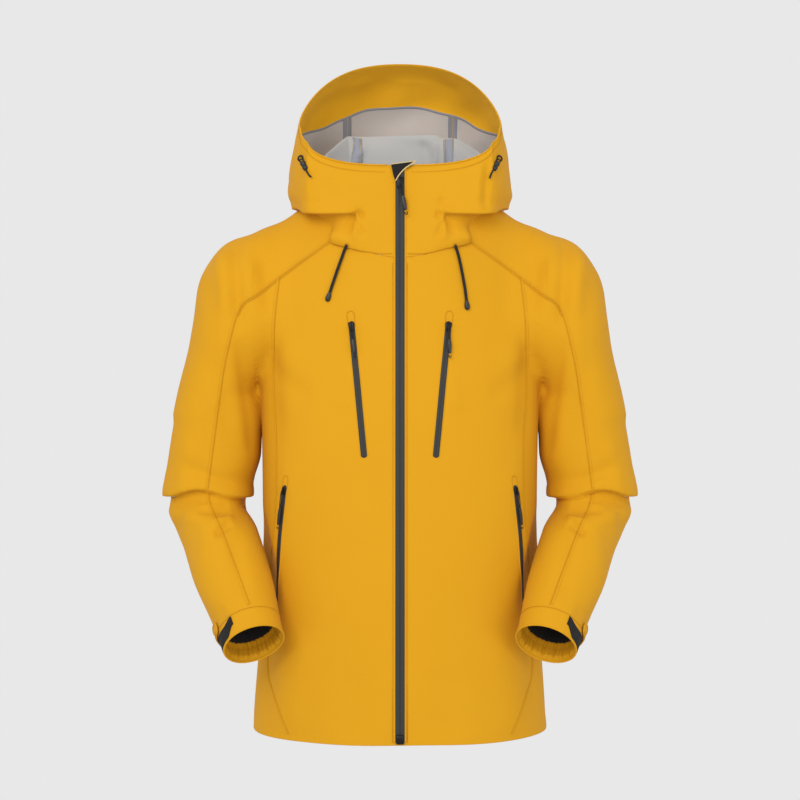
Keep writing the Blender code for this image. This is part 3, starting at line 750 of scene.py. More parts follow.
# Creases: start and end (x out from the middle, z), width, depth; 0 both sides, 1 left, -1 right
HOOD_FOLDS = [
    ((0.060, -0.002), (0.048, -0.026), 0.0040, -0.0026, 0),
    ((0.066, 0.000), (0.060, -0.030), 0.0035, 0.0022, 0),
    ((0.074, 0.000), (0.072, -0.028), 0.0040, -0.0022, 0),
    ((0.053, 0.026), (0.060, 0.008), 0.0050, -0.0030, 1),
    ((0.118, 0.076), (0.114, 0.012), 0.0050, -0.0032, 1),
    ((0.106, 0.070), (0.104, 0.014), 0.0055, 0.0024, 1),
    ((0.128, 0.060), (0.122, 0.010), 0.0060, 0.0016, -1),
    ((0.100, 0.050), (0.086, 0.018), 0.0090, -0.0018, -1),
]


def fold_height(x):
    """Height of the hood's lower fold, by the distance from the middle."""
    return 0.0070 + 0.0030 * smooth(0.105, 0.135, x) + 0.0130 * smooth(0.125, 0.158, x)


def sculpt_hood(points):
    """Fold the sides of the hood over at the bottom, and add its creases."""
    flat = points.reshape(-1, 3).copy()
    x, y, z = np.abs(flat[:, 0]), flat[:, 1], flat[:, 2]
    sign = np.sign(flat[:, 0])
    front = smooth(BODY_Y + 0.110, BODY_Y + 0.045, y)
    level = fold_height(x)
    above = z - level
    reach = smooth(FOLD_NEAR, FOLD_NEAR + 0.012, x)
    under = reach * front * smooth(0.0025, -0.0035, above)
    under = under * (1 - (1 - smooth(0.090, 0.115, x)) * smooth(-0.008, -0.036, above))
    inward = unit(np.stack([-flat[:, 0] * 0.7, BODY_Y - 0.02 - flat[:, 1], np.zeros(len(flat))], axis=1))
    deep = 0.0100 + 0.0140 * smooth(0.075, 0.125, x)
    flat += inward * (under * deep)[:, None]
    lip = reach * front * np.exp(-((above - 0.004) / 0.0055) ** 2) * (1 - smooth(0.118, 0.138, x))
    flat -= inward * (0.0042 * lip)[:, None]
    edge = reach * front * smooth(0.128, 0.148, x) * np.exp(-((above - 0.002) / 0.010) ** 2)
    flat += inward * (0.0050 * edge)[:, None]
    flat[:, 2] -= 0.0045 * reach * front * np.exp(-((above - 0.003) / 0.004) ** 2)
    curl = np.exp(-((x - FOLD_NEAR - 0.004) / 0.0060) ** 2 - ((above - 0.004) / 0.0050) ** 2) * (y < BODY_Y)
    flat[:, 1] -= 0.0040 * curl
    dimple = np.exp(-((x - FOLD_NEAR + 0.004) / 0.0045) ** 2 - ((above + 0.004) / 0.0060) ** 2) * (y < BODY_Y)
    flat[:, 1] += 0.0050 * dimple
    ahead = smooth(BODY_Y + 0.0, BODY_Y - 0.04, y)
    for start, end, width, depth, which in HOOD_FOLDS:
        wanted = 1.0 if which == 0 else (sign == which)
        flat[:, 1] -= fold(x, z, start, end, width, depth) * ahead * wanted
    neck = smooth(0.000, 0.020, points.reshape(-1, 3)[:, 2] - NECK_LOOP[:, 2].min())
    flat[:, 1] -= 0.0009 * (1 - neck) * (y < BODY_Y)
    share = np.repeat(np.linspace(0, 1, HOOD_UP), HOOD_ACROSS)
    calm = 1 - smooth(0.70, 0.95, share)
    up = np.degrees(np.tile(np.arccos(np.cos(full_turn(HOOD_ACROSS))), HOOD_UP))
    corner = np.exp(-((up - 77) / 13) ** 2) * smooth(0.72, 1.0, share)
    flat[:, 0] -= sign * 0.0080 * corner
    behind = smooth(BODY_Y + 0.02, BODY_Y + 0.07, y) * calm
    for height, seed, scale, share in (
        (0.0022, 21, 0.10, behind),
        (0.0007, 23, 0.06, smooth(0.02, 0.05, x) * calm),
    ):
        flat += unit(flat - (0, BODY_Y, 0.07)) * (height * ripple(flat, seed, scale) * share)[:, None]
    return flat.reshape(points.shape)


def facing_edge(turn):
    """Fan angle at which the yellow facing inside the rim ends, by the turn round the hood."""
    up = np.abs(np.arccos(np.cos(turn)))
    return RIM_ANGLE + 0.5 - 33.5 * smooth(math.radians(58), math.radians(140), up)


def make_hood():
    """The hood's cloth as an open surface, with the turns, fan angles and points of its grid."""
    turns = full_turn(HOOD_ACROSS)
    part = np.linspace(0, 1, HOOD_UP)
    angles = NECK_ANGLE + (RIM_ANGLE - NECK_ANGLE) * (0.65 * part + 0.35 * part**1.6)
    points = sculpt_hood(hood_points(turns[None, :], angles[:, None]))
    hood = new_mesh("hood_shell", points, grid_faces(HOOD_UP, HOOD_ACROSS))
    outward(hood)
    return hood, turns, angles, points


# Looks ------------------------------------------------------------------------------------------
def joined(tree, out_socket, in_socket):
    """Link two sockets."""
    tree.links.new(out_socket, in_socket)


def material(name, colour, rough, spread=0.05, grain=900.0, depth=0.15, weave=0.0, weave_depth=0.2, **fixed):
    """Cloth, cord or moulded plastic: blotched colour, uneven roughness, grain and an optional weave."""
    made = bpy.data.materials.new(name)
    made.use_nodes = True
    tree = made.node_tree
    shader = tree.nodes["Principled BSDF"]
    where = tree.nodes.new("ShaderNodeTexCoord")

    blotch = tree.nodes.new("ShaderNodeTexNoise")
    blotch.inputs["Scale"].default_value = 7.0
    blotch.inputs["Detail"].default_value = 5.0
    joined(tree, where.outputs["Object"], blotch.inputs["Vector"])
    mix = tree.nodes.new("ShaderNodeMix")
    mix.data_type = "RGBA"
    mix.inputs[6].default_value = (*[c * (1 - spread) for c in colour], 1)
    mix.inputs[7].default_value = (*[min(c * (1 + spread), 1) for c in colour], 1)
    joined(tree, blotch.outputs["Fac"], mix.inputs[0])
    joined(tree, mix.outputs[2], shader.inputs["Base Color"])

    fine = tree.nodes.new("ShaderNodeTexNoise")
    fine.inputs["Scale"].default_value = grain
    fine.inputs["Detail"].default_value = 3.0
    joined(tree, where.outputs["Object"], fine.inputs["Vector"])
    ranged = tree.nodes.new("ShaderNodeMapRange")
    ranged.inputs["To Min"].default_value = max(rough - 0.09, 0.02)
    ranged.inputs["To Max"].default_value = min(rough + 0.09, 1.0)
    joined(tree, fine.outputs["Fac"], ranged.inputs["Value"])
    joined(tree, ranged.outputs["Result"], shader.inputs["Roughness"])

    grained = tree.nodes.new("ShaderNodeBump")
    grained.inputs["Strength"].default_value = depth
    grained.inputs["Distance"].default_value = 0.0004
    joined(tree, fine.outputs["Fac"], grained.inputs["Height"])
    last = grained
    if weave:
        last = woven(tree, where, weave, weave_depth)
        joined(tree, grained.outputs["Normal"], last.inputs["Normal"])
    joined(tree, last.outputs["Normal"], shader.inputs["Normal"])
    for socket, value in fixed.items():
        shader.inputs[socket.replace("_", " ").title().replace("Ior", "IOR")].default_value = value
    return made


def woven(tree, where, pitch, strength):
    """Bump of warp and weft threads a pitch apart, the same on every side."""
    split = tree.nodes.new("ShaderNodeSeparateXYZ")
    joined(tree, where.outputs["Object"], split.inputs[0])
    waves = []
    for axis in range(3):
        times = tree.nodes.new("ShaderNodeMath")
        times.operation = "MULTIPLY"
        times.inputs[1].default_value = 2 * math.pi / pitch
        joined(tree, split.outputs[axis], times.inputs[0])
        wave = tree.nodes.new("ShaderNodeMath")
        wave.operation = "SINE"
        joined(tree, times.outputs[0], wave.inputs[0])
        waves.append(wave)
    total = None
    for first, second in ((0, 2), (1, 2), (0, 1)):
        product = tree.nodes.new("ShaderNodeMath")
        product.operation = "MULTIPLY"
        joined(tree, waves[first].outputs[0], product.inputs[0])
        joined(tree, waves[second].outputs[0], product.inputs[1])
        if total is None:
            total = product
            continue
        add = tree.nodes.new("ShaderNodeMath")
        add.operation = "ADD"
        joined(tree, total.outputs[0], add.inputs[0])
        joined(tree, product.outputs[0], add.inputs[1])
        total = add
    bumped = tree.nodes.new("ShaderNodeBump")
    bumped.inputs["Strength"].default_value = strength
    bumped.inputs["Distance"].default_value = 0.0003
    joined(tree, total.outputs[0], bumped.inputs["Height"])
    return bumped


WOVEN_CLOTH = {"rough": 0.80, "grain": 700, "depth": 0.25, "weave": 0.0011, "weave_depth": 0.22}
SHELL = material("shell_cloth", (0.640, 0.306, 0.0068), spread=0.030, sheen_weight=0.02, **WOVEN_CLOTH)
# The seam cloth is the shell cloth a little darker: painted shade along the seam lines, also on the welts,
# the neck seam and the cuff's gathered band.
SHADED_SEAM_CLOTH = material("seam_cloth_painted_shade", (0.622, 0.294, 0.0066), spread=0.04, **WOVEN_CLOTH)
THREAD = material("thread", (0.540, 0.245, 0.0070), 0.70, 0.08, 2500, 0.3)
# The facing is the shell cloth with a brighter base colour: painted light on the inside of the rim, which
# lies in the hood's shade.
FACING_PAINTED_LIGHT = material("facing_cloth_painted_light", (0.990, 0.520, 0.0190), spread=0.030, sheen_weight=0.02, **WOVEN_CLOTH)
for cloth in (SHELL, SHADED_SEAM_CLOTH, THREAD, FACING_PAINTED_LIGHT):
    cloth.node_tree.nodes["Principled BSDF"].inputs["Specular IOR Level"].default_value = 0.16
LINING = material("lining", (0.600, 0.575, 0.565), 0.80, 0.06, 500, 0.3, 0.0014, 0.35, sheen_weight=0.08)
# The collar's lining is the lining cloth drawn darker: painted shade on the ridge inside the hood.
SHADED_LINING = material("lining_painted_shade", (0.455, 0.460, 0.455), 0.80, 0.05, 500, 0.3, 0.0014, 0.35)
TAPE = material("seam_tape", (0.285, 0.310, 0.375), 0.50, 0.10, 600, 0.25, 0.0018, 0.25)
ZIP = material("zip_coating", (0.017, 0.017, 0.014), 0.60, 0.12, 1200, 0.25, 0.0009, 0.15)
ZIP_LINE = material("zip_line", (0.012, 0.012, 0.013), 0.60, 0.10, 1500, 0.2)
METAL = material("slider_metal", (0.011, 0.011, 0.012), 0.38, 0.15, 900, 0.12, metallic=0.65)
CORD = material("cord_braid", (0.010, 0.010, 0.010), 0.70, 0.15, 1500, 0.3, 0.0010, 0.9)
PLASTIC = material("moulded_plastic", (0.009, 0.009, 0.010), 0.42, 0.12, 1400, 0.15)
HOOK = material("hook_tape", (0.006, 0.006, 0.006), 0.90, 0.2, 2600, 1.0, 0.0013, 1.0)
# The sleeves' lining drawn near black: painted shade deep inside the cuffs.
CUFF_LINING_SHADE = material("cuff_lining", (0.014, 0.013, 0.013), 0.85, 0.15, 700, 0.3, 0.0012, 0.4)
PIPING = material("piping", (0.640, 0.470, 0.200), 0.65, 0.06, 1800, 0.3, 0.0008, 0.3)
POCKET = material("pocket_mesh", (0.430, 0.425, 0.405), 0.85, 0.08, 500, 0.4, 0.0022, 0.9)
PAPER = material("studio_paper", (0.790, 0.790, 0.790), 0.95, 0.01, 40, 0.02)


# Camera, light and stage ------------------------------------------------------------------------
EYE_AWAY = 2.2             # from the camera to the shoulders' plane
PICTURE_WIDTH = 1.12       # width of the picture in the shoulders' plane
SENSOR = 36.0
EYE = np.array((0.0, BODY_Y - EYE_AWAY, -0.245))
BACKDROP = (0.807, 0.807, 0.807, 1)
FLOOR_Z = -0.975
FLOOR_EDGE = [(0.02, 0.0), (0.300, 0.0), (0.560, 0.0), (0.566, -0.002), (0.568, -0.008), (0.568, -0.030)]


def make_studio():
    """Camera, lamps, backdrop and floor."""
    camera = link("camera", bpy.data.cameras.new("camera"))
    camera.location = tuple(EYE)
    camera.rotation_euler = (math.pi / 2, 0, 0)
    camera.data.sensor_width = SENSOR
    camera.data.lens = SENSOR * EYE_AWAY / PICTURE_WIDTH
    bpy.context.scene.camera = camera
    bpy.context.scene.view_settings.view_transform = "Standard"

    world = bpy.data.worlds.new("studio")
    world.use_nodes = True
    back = world.node_tree.nodes["Background"]
    back.inputs["Color"].default_value = BACKDROP
    back.inputs["Strength"].default_value = 1.0
    bpy.context.scene.world = world

    for name, place, aim, size, watts in (
        ("key", (-0.9, -2.4, 0.9), (0.0, -0.1, -0.20), 1.3, 30.0),
        ("fill", (1.2, -2.4, -0.1), (0.0, -0.1, 0.0), 1.4, 12.0),
    ):
        light = bpy.data.lights.new(name, "AREA")
        light.size = size
        light.energy = watts
        lamp = link(name, light)
        lamp.location = place
        lamp.rotation_euler = (Vector(aim) - Vector(place)).to_track_quat("-Z", "Y").to_euler()

    centre = np.array((0.0, BODY_Y, FLOOR_Z))
    level = (np.array((1.0, 0.0, 0.0)), np.array((0.0, 1.0, 0.0)))
    rings = [ring_at(centre + (0, 0, height), *level, radius, radius, 128) for radius, height in FLOOR_EDGE]
    floor = loft("studio_floor", rings[::-1])
    floor.data.materials.append(PAPER)


# Lines on the cloth -----------------------------------------------------------------------------
class Skin:
    """A surface to lay lines, tapes and stitches on."""

    def __init__(self, objects):
        points, faces, first = [], [], 0
        for obj in objects:
            points.append(points_of(obj))
            faces += [tuple(first + i for i in p.vertices) for p in obj.data.polygons]
            first += len(obj.data.vertices)
        self.tree = BVHTree.FromPolygons([tuple(p) for p in np.concatenate(points)], faces)

    def cast(self, start, direction):
        """Where a line first meets the cloth: point and normal facing the line's start."""
        place, normal, _, _ = self.tree.ray_cast(Vector(start), Vector(direction))
        if place is None:
            return None
        normal = np.array(normal)
        if normal @ np.array(direction) > 0:
            normal = -normal
        return np.array(place), normal

    def seen(self, x, z, behind=False):
        """The cloth behind a point of the shoulders' plane, from the camera or from behind."""
        eye = EYE * (1, -1, 1) if behind else EYE
        return self.cast(eye, np.array((x, BODY_Y, z)) - eye)

    def near(self, point, outward_normal=None):
        """The cloth's nearest point and its normal, turned to the side of another one."""
        place, normal, _, _ = self.tree.find_nearest(Vector(point))
        normal = np.array(normal)
        if outward_normal is not None and normal @ outward_normal < 0:
            normal = -normal
        return np.array(place), normal


def resampled(points, step):
    """A line with points at equal steps."""
    points = np.asarray(points, float)
    length = distances(points)
    count = max(int(length[-1] / step), 2)
    at = np.linspace(0, length[-1], count + 1)
    return np.stack([np.interp(at, length, points[:, k]) for k in range(points.shape[1])], axis=1)


def smooth_route(route, step=0.003):
    """A dense smooth line through a few points."""
    route = np.asarray(route, float)
    table = np.concatenate([np.arange(len(route))[:, None], route], axis=1)
    dense = curve(table, np.linspace(0, len(route) - 1, 24 * len(route)))
    return resampled(dense, step)


def laid(skin, route, side=1, behind=False, step=0.003):
    """Points and normals on the cloth along a route in the shoulders' plane."""
    found = [skin.seen(side * x, z, behind) for x, z in smooth_route(route, step)]
    return split([f for f in found if f is not None])


def split(found):
    """Pairs of point and normal as two arrays."""
    return np.array([place for place, _ in found]), np.array([normal for _, normal in found])


def ribbon(name, skin, points, normals, profile, look, taper=None, closed=False, cling=True):
    """A strip along a line: profile is (across, height) pairs; it clings to the cloth's curve."""
    points, normals = np.asarray(points), unit(normals)
    if closed:
        along = unit(np.roll(points, -1, axis=0) - np.roll(points, 1, axis=0))
    else:
        along = unit(np.gradient(points, axis=0))
    across = unit(np.cross(along, normals))
    rows = []
    for i in range(len(points)):
        scale = 1.0 if taper is None else taper[i]
        row = []
        for u, h in profile:
            place = points[i] + across[i] * u * scale
            normal = normals[i]
            if cling:
                place, found = skin.near(place, normals[i])
                normal = unit(normal * 0.5 + found * 0.5)
            row.append(place + normal * h * (1.0 if taper is None else min(scale * 2, 1.0)))
        rows.append(row)
    rows = np.array(rows)
    faces = grid_faces(rows.shape[1], rows.shape[0], closed)
    made = new_mesh(name, rows.transpose(1, 0, 2), faces)
    face_out(made, rows, normals)
    return dress(made, look)


def face_out(obj, rows, normals):
    """Turn the faces so that they look the way the cloth does."""
    mesh = edit(obj)
    mesh.normal_update()
    centre = rows.shape[1] // 2
    score = 0.0
    for face in list(mesh.faces)[:: max(len(mesh.faces) // 60, 1)]:
        nearest = np.linalg.norm(rows[:, centre] - np.array(face.calc_center_median()), axis=1).argmin()
        score += np.array(face.normal) @ normals[nearest]
    if score < 0:
        bmesh.ops.reverse_faces(mesh, faces=mesh.faces)
    done(obj, mesh)


# Profile of a seam's lap: across, height
LAP = [
    (-0.0036, 0.00002),
    (-0.0028, 0.00034),
    (-0.0008, 0.00050),
    (0.0005, 0.00062),
    (0.0009, 0.00058),
    (0.0011, -0.0004),
]
STITCH_SIDES = 6


def stitches(
    name, skin, points, normals, offset,
    look=THREAD, pitch=0.0032, length=0.0022, radius=0.00022, lift=0.0007,
):
    """A row of short raised stitches beside a line."""
    steps = resampled(np.concatenate([points, normals], axis=1), pitch)
    place, normal = steps[:, :3], unit(steps[:, 3:])
    along = unit(np.gradient(place, axis=0))
    across = unit(np.cross(along, normal))
    turn = full_turn(STITCH_SIDES)
    sections = [(-0.5, 0.45, -0.6), (-0.3, 1.0, 0.3), (0.3, 1.0, 0.3), (0.5, 0.45, -0.6)]
    out, faces = [], []
    for i in range(len(place)):
        spot, _ = skin.near(place[i] + across[i] * offset, normal[i])
        first = len(out)
        for at, wide, high in sections:
            middle = spot + along[i] * at * length + normal[i] * (lift + high * radius)
            for t in turn:
                out.append(middle + radius * wide * (across[i] * math.cos(t) * 1.3 + normal[i] * math.sin(t)))
        for face in grid_faces(len(sections), STITCH_SIDES):
            faces.append(tuple(first + corner for corner in face))
        last = first + (len(sections) - 1) * STITCH_SIDES
        faces.append(tuple(first + c for c in range(STITCH_SIDES))[::-1])
        faces.append(tuple(last + c for c in range(STITCH_SIDES)))
    made = new_mesh(name, out, faces)
    outward(made)
    return dress(made, look)


def tube(name, path, radius, look, sides=12, caps=True):
    """A round tube along points; radius may change along it."""
    path = np.asarray(path, float)
    radii = np.broadcast_to(radius, len(path))
    along = unit(np.gradient(path, axis=0))
    side = unit(np.cross(along[0], (0.3, 0.5, 0.8)))
    rings = []
    turn = full_turn(sides)[:, None]
    for i in range(len(path)):
        side = unit(side - along[i] * (side @ along[i]))
        up = np.cross(along[i], side)
        rings.append(path[i] + radii[i] * (side * np.cos(turn) + up * np.sin(turn)))
    return dress(loft(name, rings, caps), look)


def join(name, objects):
    """Several made pieces as one mesh."""
    first = objects[0]
    with bpy.context.temp_override(
        active_object=first, object=first, selected_objects=objects, selected_editable_objects=objects
    ):
        bpy.ops.object.join()
    first.name = name
    return first


# Seams: routes in the shoulders' plane, out from the middle, on both sides of the jacket
YOKE_SEAM = [(0.0864, -0.0098), (0.0935, -0.0162), (0.1348, -0.0458), (0.1704, -0.0714), (0.2012, -0.0948),
             (0.2150, -0.1030), (0.2245, -0.1125), (0.2307, -0.1246)]
SIDE_SEAM = [(0.1704, -0.0714), (0.1721, -0.0812), (0.1780, -0.1316), (0.1789, -0.1610), (0.1767, -0.2450),
             (0.1739, -0.3010), (0.1739, -0.3710), (0.1774, -0.4270), (0.1811, -0.4718), (0.1845, -0.5390),
             (0.1858, -0.6230), (0.1789, -0.6538), (0.1676, -0.6888), (0.1578, -0.7126)]
SLEEVE_SEAM = [(0.2307, -0.1246), (0.2365, -0.1440), (0.2480, -0.1950), (0.2559, -0.2478), (0.2718, -0.3680)]
FOREARM_SEAM = [(0.2706, -0.3755), (0.2680, -0.3920), (0.2514, -0.4298), (0.2336, -0.4767), (0.2134, -0.5314)]
BACK_YOKE = [(0.0030, -0.0850), (0.0800, -0.0880), (0.1500, -0.1000), (0.1900, -0.1180)]
BACK_SIDE = [(0.1180, -0.0960), (0.1240, -0.2000), (0.1280, -0.3500), (0.1300, -0.5000), (0.1340, -0.6880)]
BACK_SLEEVE = [(0.2300, -0.0950), (0.2650, -0.2200), (0.2850, -0.3500), (0.2650, -0.4500), (0.2350, -0.5000)]


def seam(name, skin, route, side, arm, behind=False, stitched=(0.0030,)):
    """A lapped seam along a route, with its rows of stitches."""
    points, normals = laid(skin, route, side, behind)
    flip = -side if not behind else side
    profile = [(u * flip, h) for u, h in LAP]
    pieces = ride_with_sleeves(ribbon(name, skin, points, normals, profile, SHADED_SEAM_CLOTH), arm)
    for i, offset in enumerate(stitched):
        row = stitches(f"{name}_stitches_{i}", skin, points, normals, -offset * flip)
        pieces += ride_with_sleeves(row, arm)


def body_only(shell):
    """The body's cloth without the sleeves, to lay seams that run on behind the forearms."""
    arm = face_means(shell, stored(shell, "arm"))
    faces = [tuple(face.vertices) for face in shell.data.polygons if arm[face.index] < 0.5]
    body = new_mesh("body_only", points_of(shell), faces)
    skin = Skin([body])
    bpy.data.objects.remove(body)
    return skin


def all_seams(skin, body_skin):
    """The seams of body and sleeves; the side seams run on behind the forearms."""
    for side, word in ((1, "left"), (-1, "right")):
        seam(f"yoke_seam_{word}", skin, YOKE_SEAM, side, 0, stitched=(0.0026, 0.0052))
        seam(f"side_seam_{word}", body_skin, SIDE_SEAM, side, 0, stitched=(0.0028,))
        seam(f"sleeve_seam_{word}", skin, SLEEVE_SEAM, side, 1)
        seam(f"forearm_seam_{word}", skin, FOREARM_SEAM, side, 1)
        seam(f"back_yoke_seam_{word}", skin, BACK_YOKE, side, 0, behind=True)
        seam(f"back_side_seam_{word}", skin, BACK_SIDE, side, 0, behind=True)
        seam(f"back_sleeve_seam_{word}", skin, BACK_SLEEVE, side, 1, behind=True)


# Zips -------------------------------------------------------------------------------------------
CHEST_ZIP = [(0.0683, -0.1344), (0.0500, -0.3262)]
HAND_ZIP = [(0.1606, -0.3640), (0.1688, -0.4460), (0.1719, -0.5278)]
ZIP_STEP = 0.0012
SLIDER_AT = 7              # step of a pocket zip at which its slider sits
HAND_ZIP_LIFT = 0.0012
MAIN_HALF = 0.0064
SLIDER_Z = 0.046           # height of the front zip's slider
BOX_Z = HEM_Z + 0.006
# Slider: height, half width, both to be scaled, half depth, middle depth
SLIDER_SECTIONS = [
    (-0.0062, 0.0022, 0.0006, 0.0022),
    (-0.0055, 0.0031, 0.0011, 0.0022),
    (-0.0020, 0.0034, 0.0013, 0.0023),
    (0.0025, 0.0042, 0.0013, 0.0023),
    (0.0052, 0.0043, 0.0011, 0.0022),
    (0.0060, 0.0034, 0.0006, 0.0022),
]
# Bridge over the slider: depth and height, the height to be scaled
SLIDER_ARCH = [
    (-0.0030, 0.0046),
    (-0.0046, 0.0040),
    (-0.0052, 0.0022),
    (-0.0053, 0.0),
    (-0.0050, -0.0020),
    (-0.0030, -0.0034),
]
BOX_SECTIONS = [
    (-0.0068, 0.0040, 0.0008, 0.0016),
    (-0.0060, 0.0052, 0.0016, 0.0018),
    (0.0045, 0.0052, 0.0016, 0.0018),
    (0.0056, 0.0044, 0.0010, 0.0016),
]


def mirrored(profile):
    """A profile's left half with its mirror image added."""
    return profile + [(-across, height) for across, height in profile[::-1]]


def zip_line(name, skin, points, normals, half):
    """Two coated tapes that meet on a fine groove, on a bonded welt of shell cloth with round ends."""
    length = distances(points)
    taper = np.ones(len(points))
    for from_end in (length, length[-1] - length):
        near = np.clip(1 - from_end / half, 0, 1)
        taper = np.minimum(taper, np.sqrt(np.maximum(1 - near**2, 0.0)) + 0.02)
    welt = half + 0.0013
    edge = mirrored([(-welt, -0.0003), (-welt + 0.0003, 0.00055), (-half + 0.0001, 0.0006)])
    tape = mirrored([
        (-half, 0.0002),
        (-half + 0.0003, 0.0010),
        (-half * 0.55, 0.00125),
        (-0.0008, 0.00130),
        (-0.00035, 0.0007),
    ])
    groove = [(-0.00055, 0.00095), (0.0, 0.00108), (0.00055, 0.00095)]
    fasten(ribbon(f"{name}_welt", skin, points, normals, edge, SHADED_SEAM_CLOTH, taper), "torso", "shell")
    fasten(ribbon(f"{name}_tape", skin, points, normals, tape, ZIP, taper), "torso", "zip_tape", name)
    fasten(ribbon(f"{name}_line", skin, points, normals, groove, ZIP_LINE, taper), "torso", "zip_tape")


def frame_at(point, down, out):
    """Matrix whose local Z runs up a zip and whose local Y faces into the cloth."""
    up = -unit(down)
    out = unit(np.asarray(out) - up * (np.asarray(out) @ up))
    across = np.cross(up, -out)
    return np.array([across, -out, up]).T, np.asarray(point)


def placed(axes, local):
    """Points given along a matrix's axes, in the world."""
    turn, origin = axes
    return np.asarray(local) @ turn.T + origin


def oval_loft(name, axes, sections, look, square=2.6):
    """A smooth moulded body: sections are up, half width, half depth and middle depth out of the cloth."""
    sides = 20
    turn = full_turn(sides)
    rings = []
    for up, half_width, half_depth, middle in sections:
        x = half_width * power(np.cos(turn), 2 / square)
        y = -middle + half_depth * power(np.sin(turn), 2 / square)
        rings.append(placed(axes, np.stack([x, y, np.full(sides, up)], axis=1)))
    return dress(loft(name, rings), look)


def slider(name, axes, size, node):
    """Zip slider: tapering body, cheeks and the bridge that holds its pull."""
    sections = [(up * size, wide * size, *deep) for up, wide, *deep in SLIDER_SECTIONS]
    base = oval_loft(name, axes, sections, METAL)
    arch = smooth_route([(0, y, z * size) for y, z in SLIDER_ARCH], 0.0006)
    bridge = tube(f"{name}_bridge", placed(axes, arch), 0.00085 * size, METAL)
    fasten(join(name, [base, bridge]), node, "slider", node)


def pull(name, axes, length, lean, size, node):
    """Cord loop through the slider, a ribbed moulded grip on it, and the loop's end below."""
    reach = 0.42 * length
    made = []
    for across in (size, -size):
        strand = [
            (0.0, -0.0060, 0.0012),
            (0.0009 * across, -0.0062, -0.0030),
            (0.0012 * across, -0.0058, -reach * 0.5),
            (0.0009 * across, -0.0054, -reach),
        ]
        made.append(tube(f"{name}_strand", placed(axes, smooth_route(strand, 0.001)), 0.00075 * size, CORD))
    grip_end = -0.86 * length
    sections = []
    for t in np.linspace(0, 1, 25):
        at = -reach + 0.002 + (grip_end + reach) * t
        swell = 0.75 + 0.25 * math.sin(math.pi * min(t * 1.15, 1))
        swell -= 0.30 * bump(t, 0.0, 0.05) + 0.25 * bump(t, 1, 0.06)
        ribs = 0.10 * math.cos(t * 44) * smooth(0.38, 0.45, t) * (1 - smooth(0.78, 0.85, t))
        sections.append((at, 0.00255 * size * (swell + ribs), 0.00165 * size * (swell + 0.5 * ribs), 0.0052))
    grip = oval_loft(f"{name}_grip", axes, sections[::-1], PLASTIC)
    turn = np.linspace(-0.35 * math.pi, 1.35 * math.pi, 22)
    drop = 0.0021 * size + 0.0016 * size * np.sin(turn)
    ring = np.stack([0.0014 * size * np.cos(turn), np.full(len(turn), -0.0052), grip_end - drop], axis=1)
    made.append(tube(f"{name}_loop", placed(axes, ring), 0.00055 * size, CORD))
    whole = join(name, [grip] + made)
    if lean:
        turn, origin = axes
        out = -turn[:, 1]
        tilt = np.array(Matrix.Rotation(lean, 3, Vector(out)))
        set_points(whole, (points_of(whole) - origin) @ tilt.T + origin)
    fasten(whole, node, "plastic", node)


def chest_zip(skin, side, word, lean):
    """A chest zip with its slider, its pull at a lean, and its garage."""
    points, normals = laid(skin, CHEST_ZIP, side, step=ZIP_STEP)
    zip_line(f"chest_zip_{word}", skin, points, normals, 0.0044)
    axes = frame_at(points[SLIDER_AT], points[-1] - points[0], normals[SLIDER_AT])
    slider(f"chest_slider_piece_{word}", axes, 1.0, f"chest_slider_{word}")
    pull(f"chest_pull_piece_{word}", axes, 0.0440, lean, 1.0, f"chest_pull_{word}")
    garage(f"chest_garage_{word}", skin, points, normals, 0.0050, 0.0170)


def hand_zip(skin, side, word):
    """A hand zip with its slider, pull and garage."""
    points, normals = laid(skin, HAND_ZIP, side, step=ZIP_STEP)
    zip_line(f"hand_zip_{word}", skin, points + normals * HAND_ZIP_LIFT, normals, 0.0036)
    axes = frame_at(points[SLIDER_AT], points[60] - points[0], normals[SLIDER_AT])
    slider(f"hand_slider_piece_{word}", axes, 0.82, f"hand_slider_{word}")
    pull(f"hand_pull_piece_{word}", axes, 0.0560, 0.03 * side, 0.85, f"hand_pull_{word}")
    garage(f"hand_garage_{word}", skin, points, normals, 0.0042, 0.0160)


def garage(name, skin, points, normals, half, height):
    """Stitched arch of cloth over the top end of a zip."""
    along = unit(points[0] - points[6])
    normal = unit(normals[:6].mean(axis=0))
    across = unit(np.cross(along, normal))
    rise = np.linspace(-0.004, height - half - 0.001, 10)
    line = [points[3] + across * half + along * h for h in rise]
    for t in np.linspace(0, math.pi, 40):
        line.append(points[3] + across * half * math.cos(t) + along * (height - half + half * math.sin(t)))
    line += [points[3] - across * half + along * h for h in rise[::-1]]
    place, face = split([skin.near(p, normal) for p in resampled(line, 0.0010)])
    lip = mirrored([(-0.0011, -0.0002), (-0.0004, 0.0006)])
    fasten(ribbon(name, skin, place, face, lip, SHADED_SEAM_CLOTH), "torso", "shell")
    row = stitches(f"{name}_stitches", skin, place, face, 0.0, lift=0.0008, pitch=0.0026, length=0.0018)
    fasten(row, "torso", "shell")


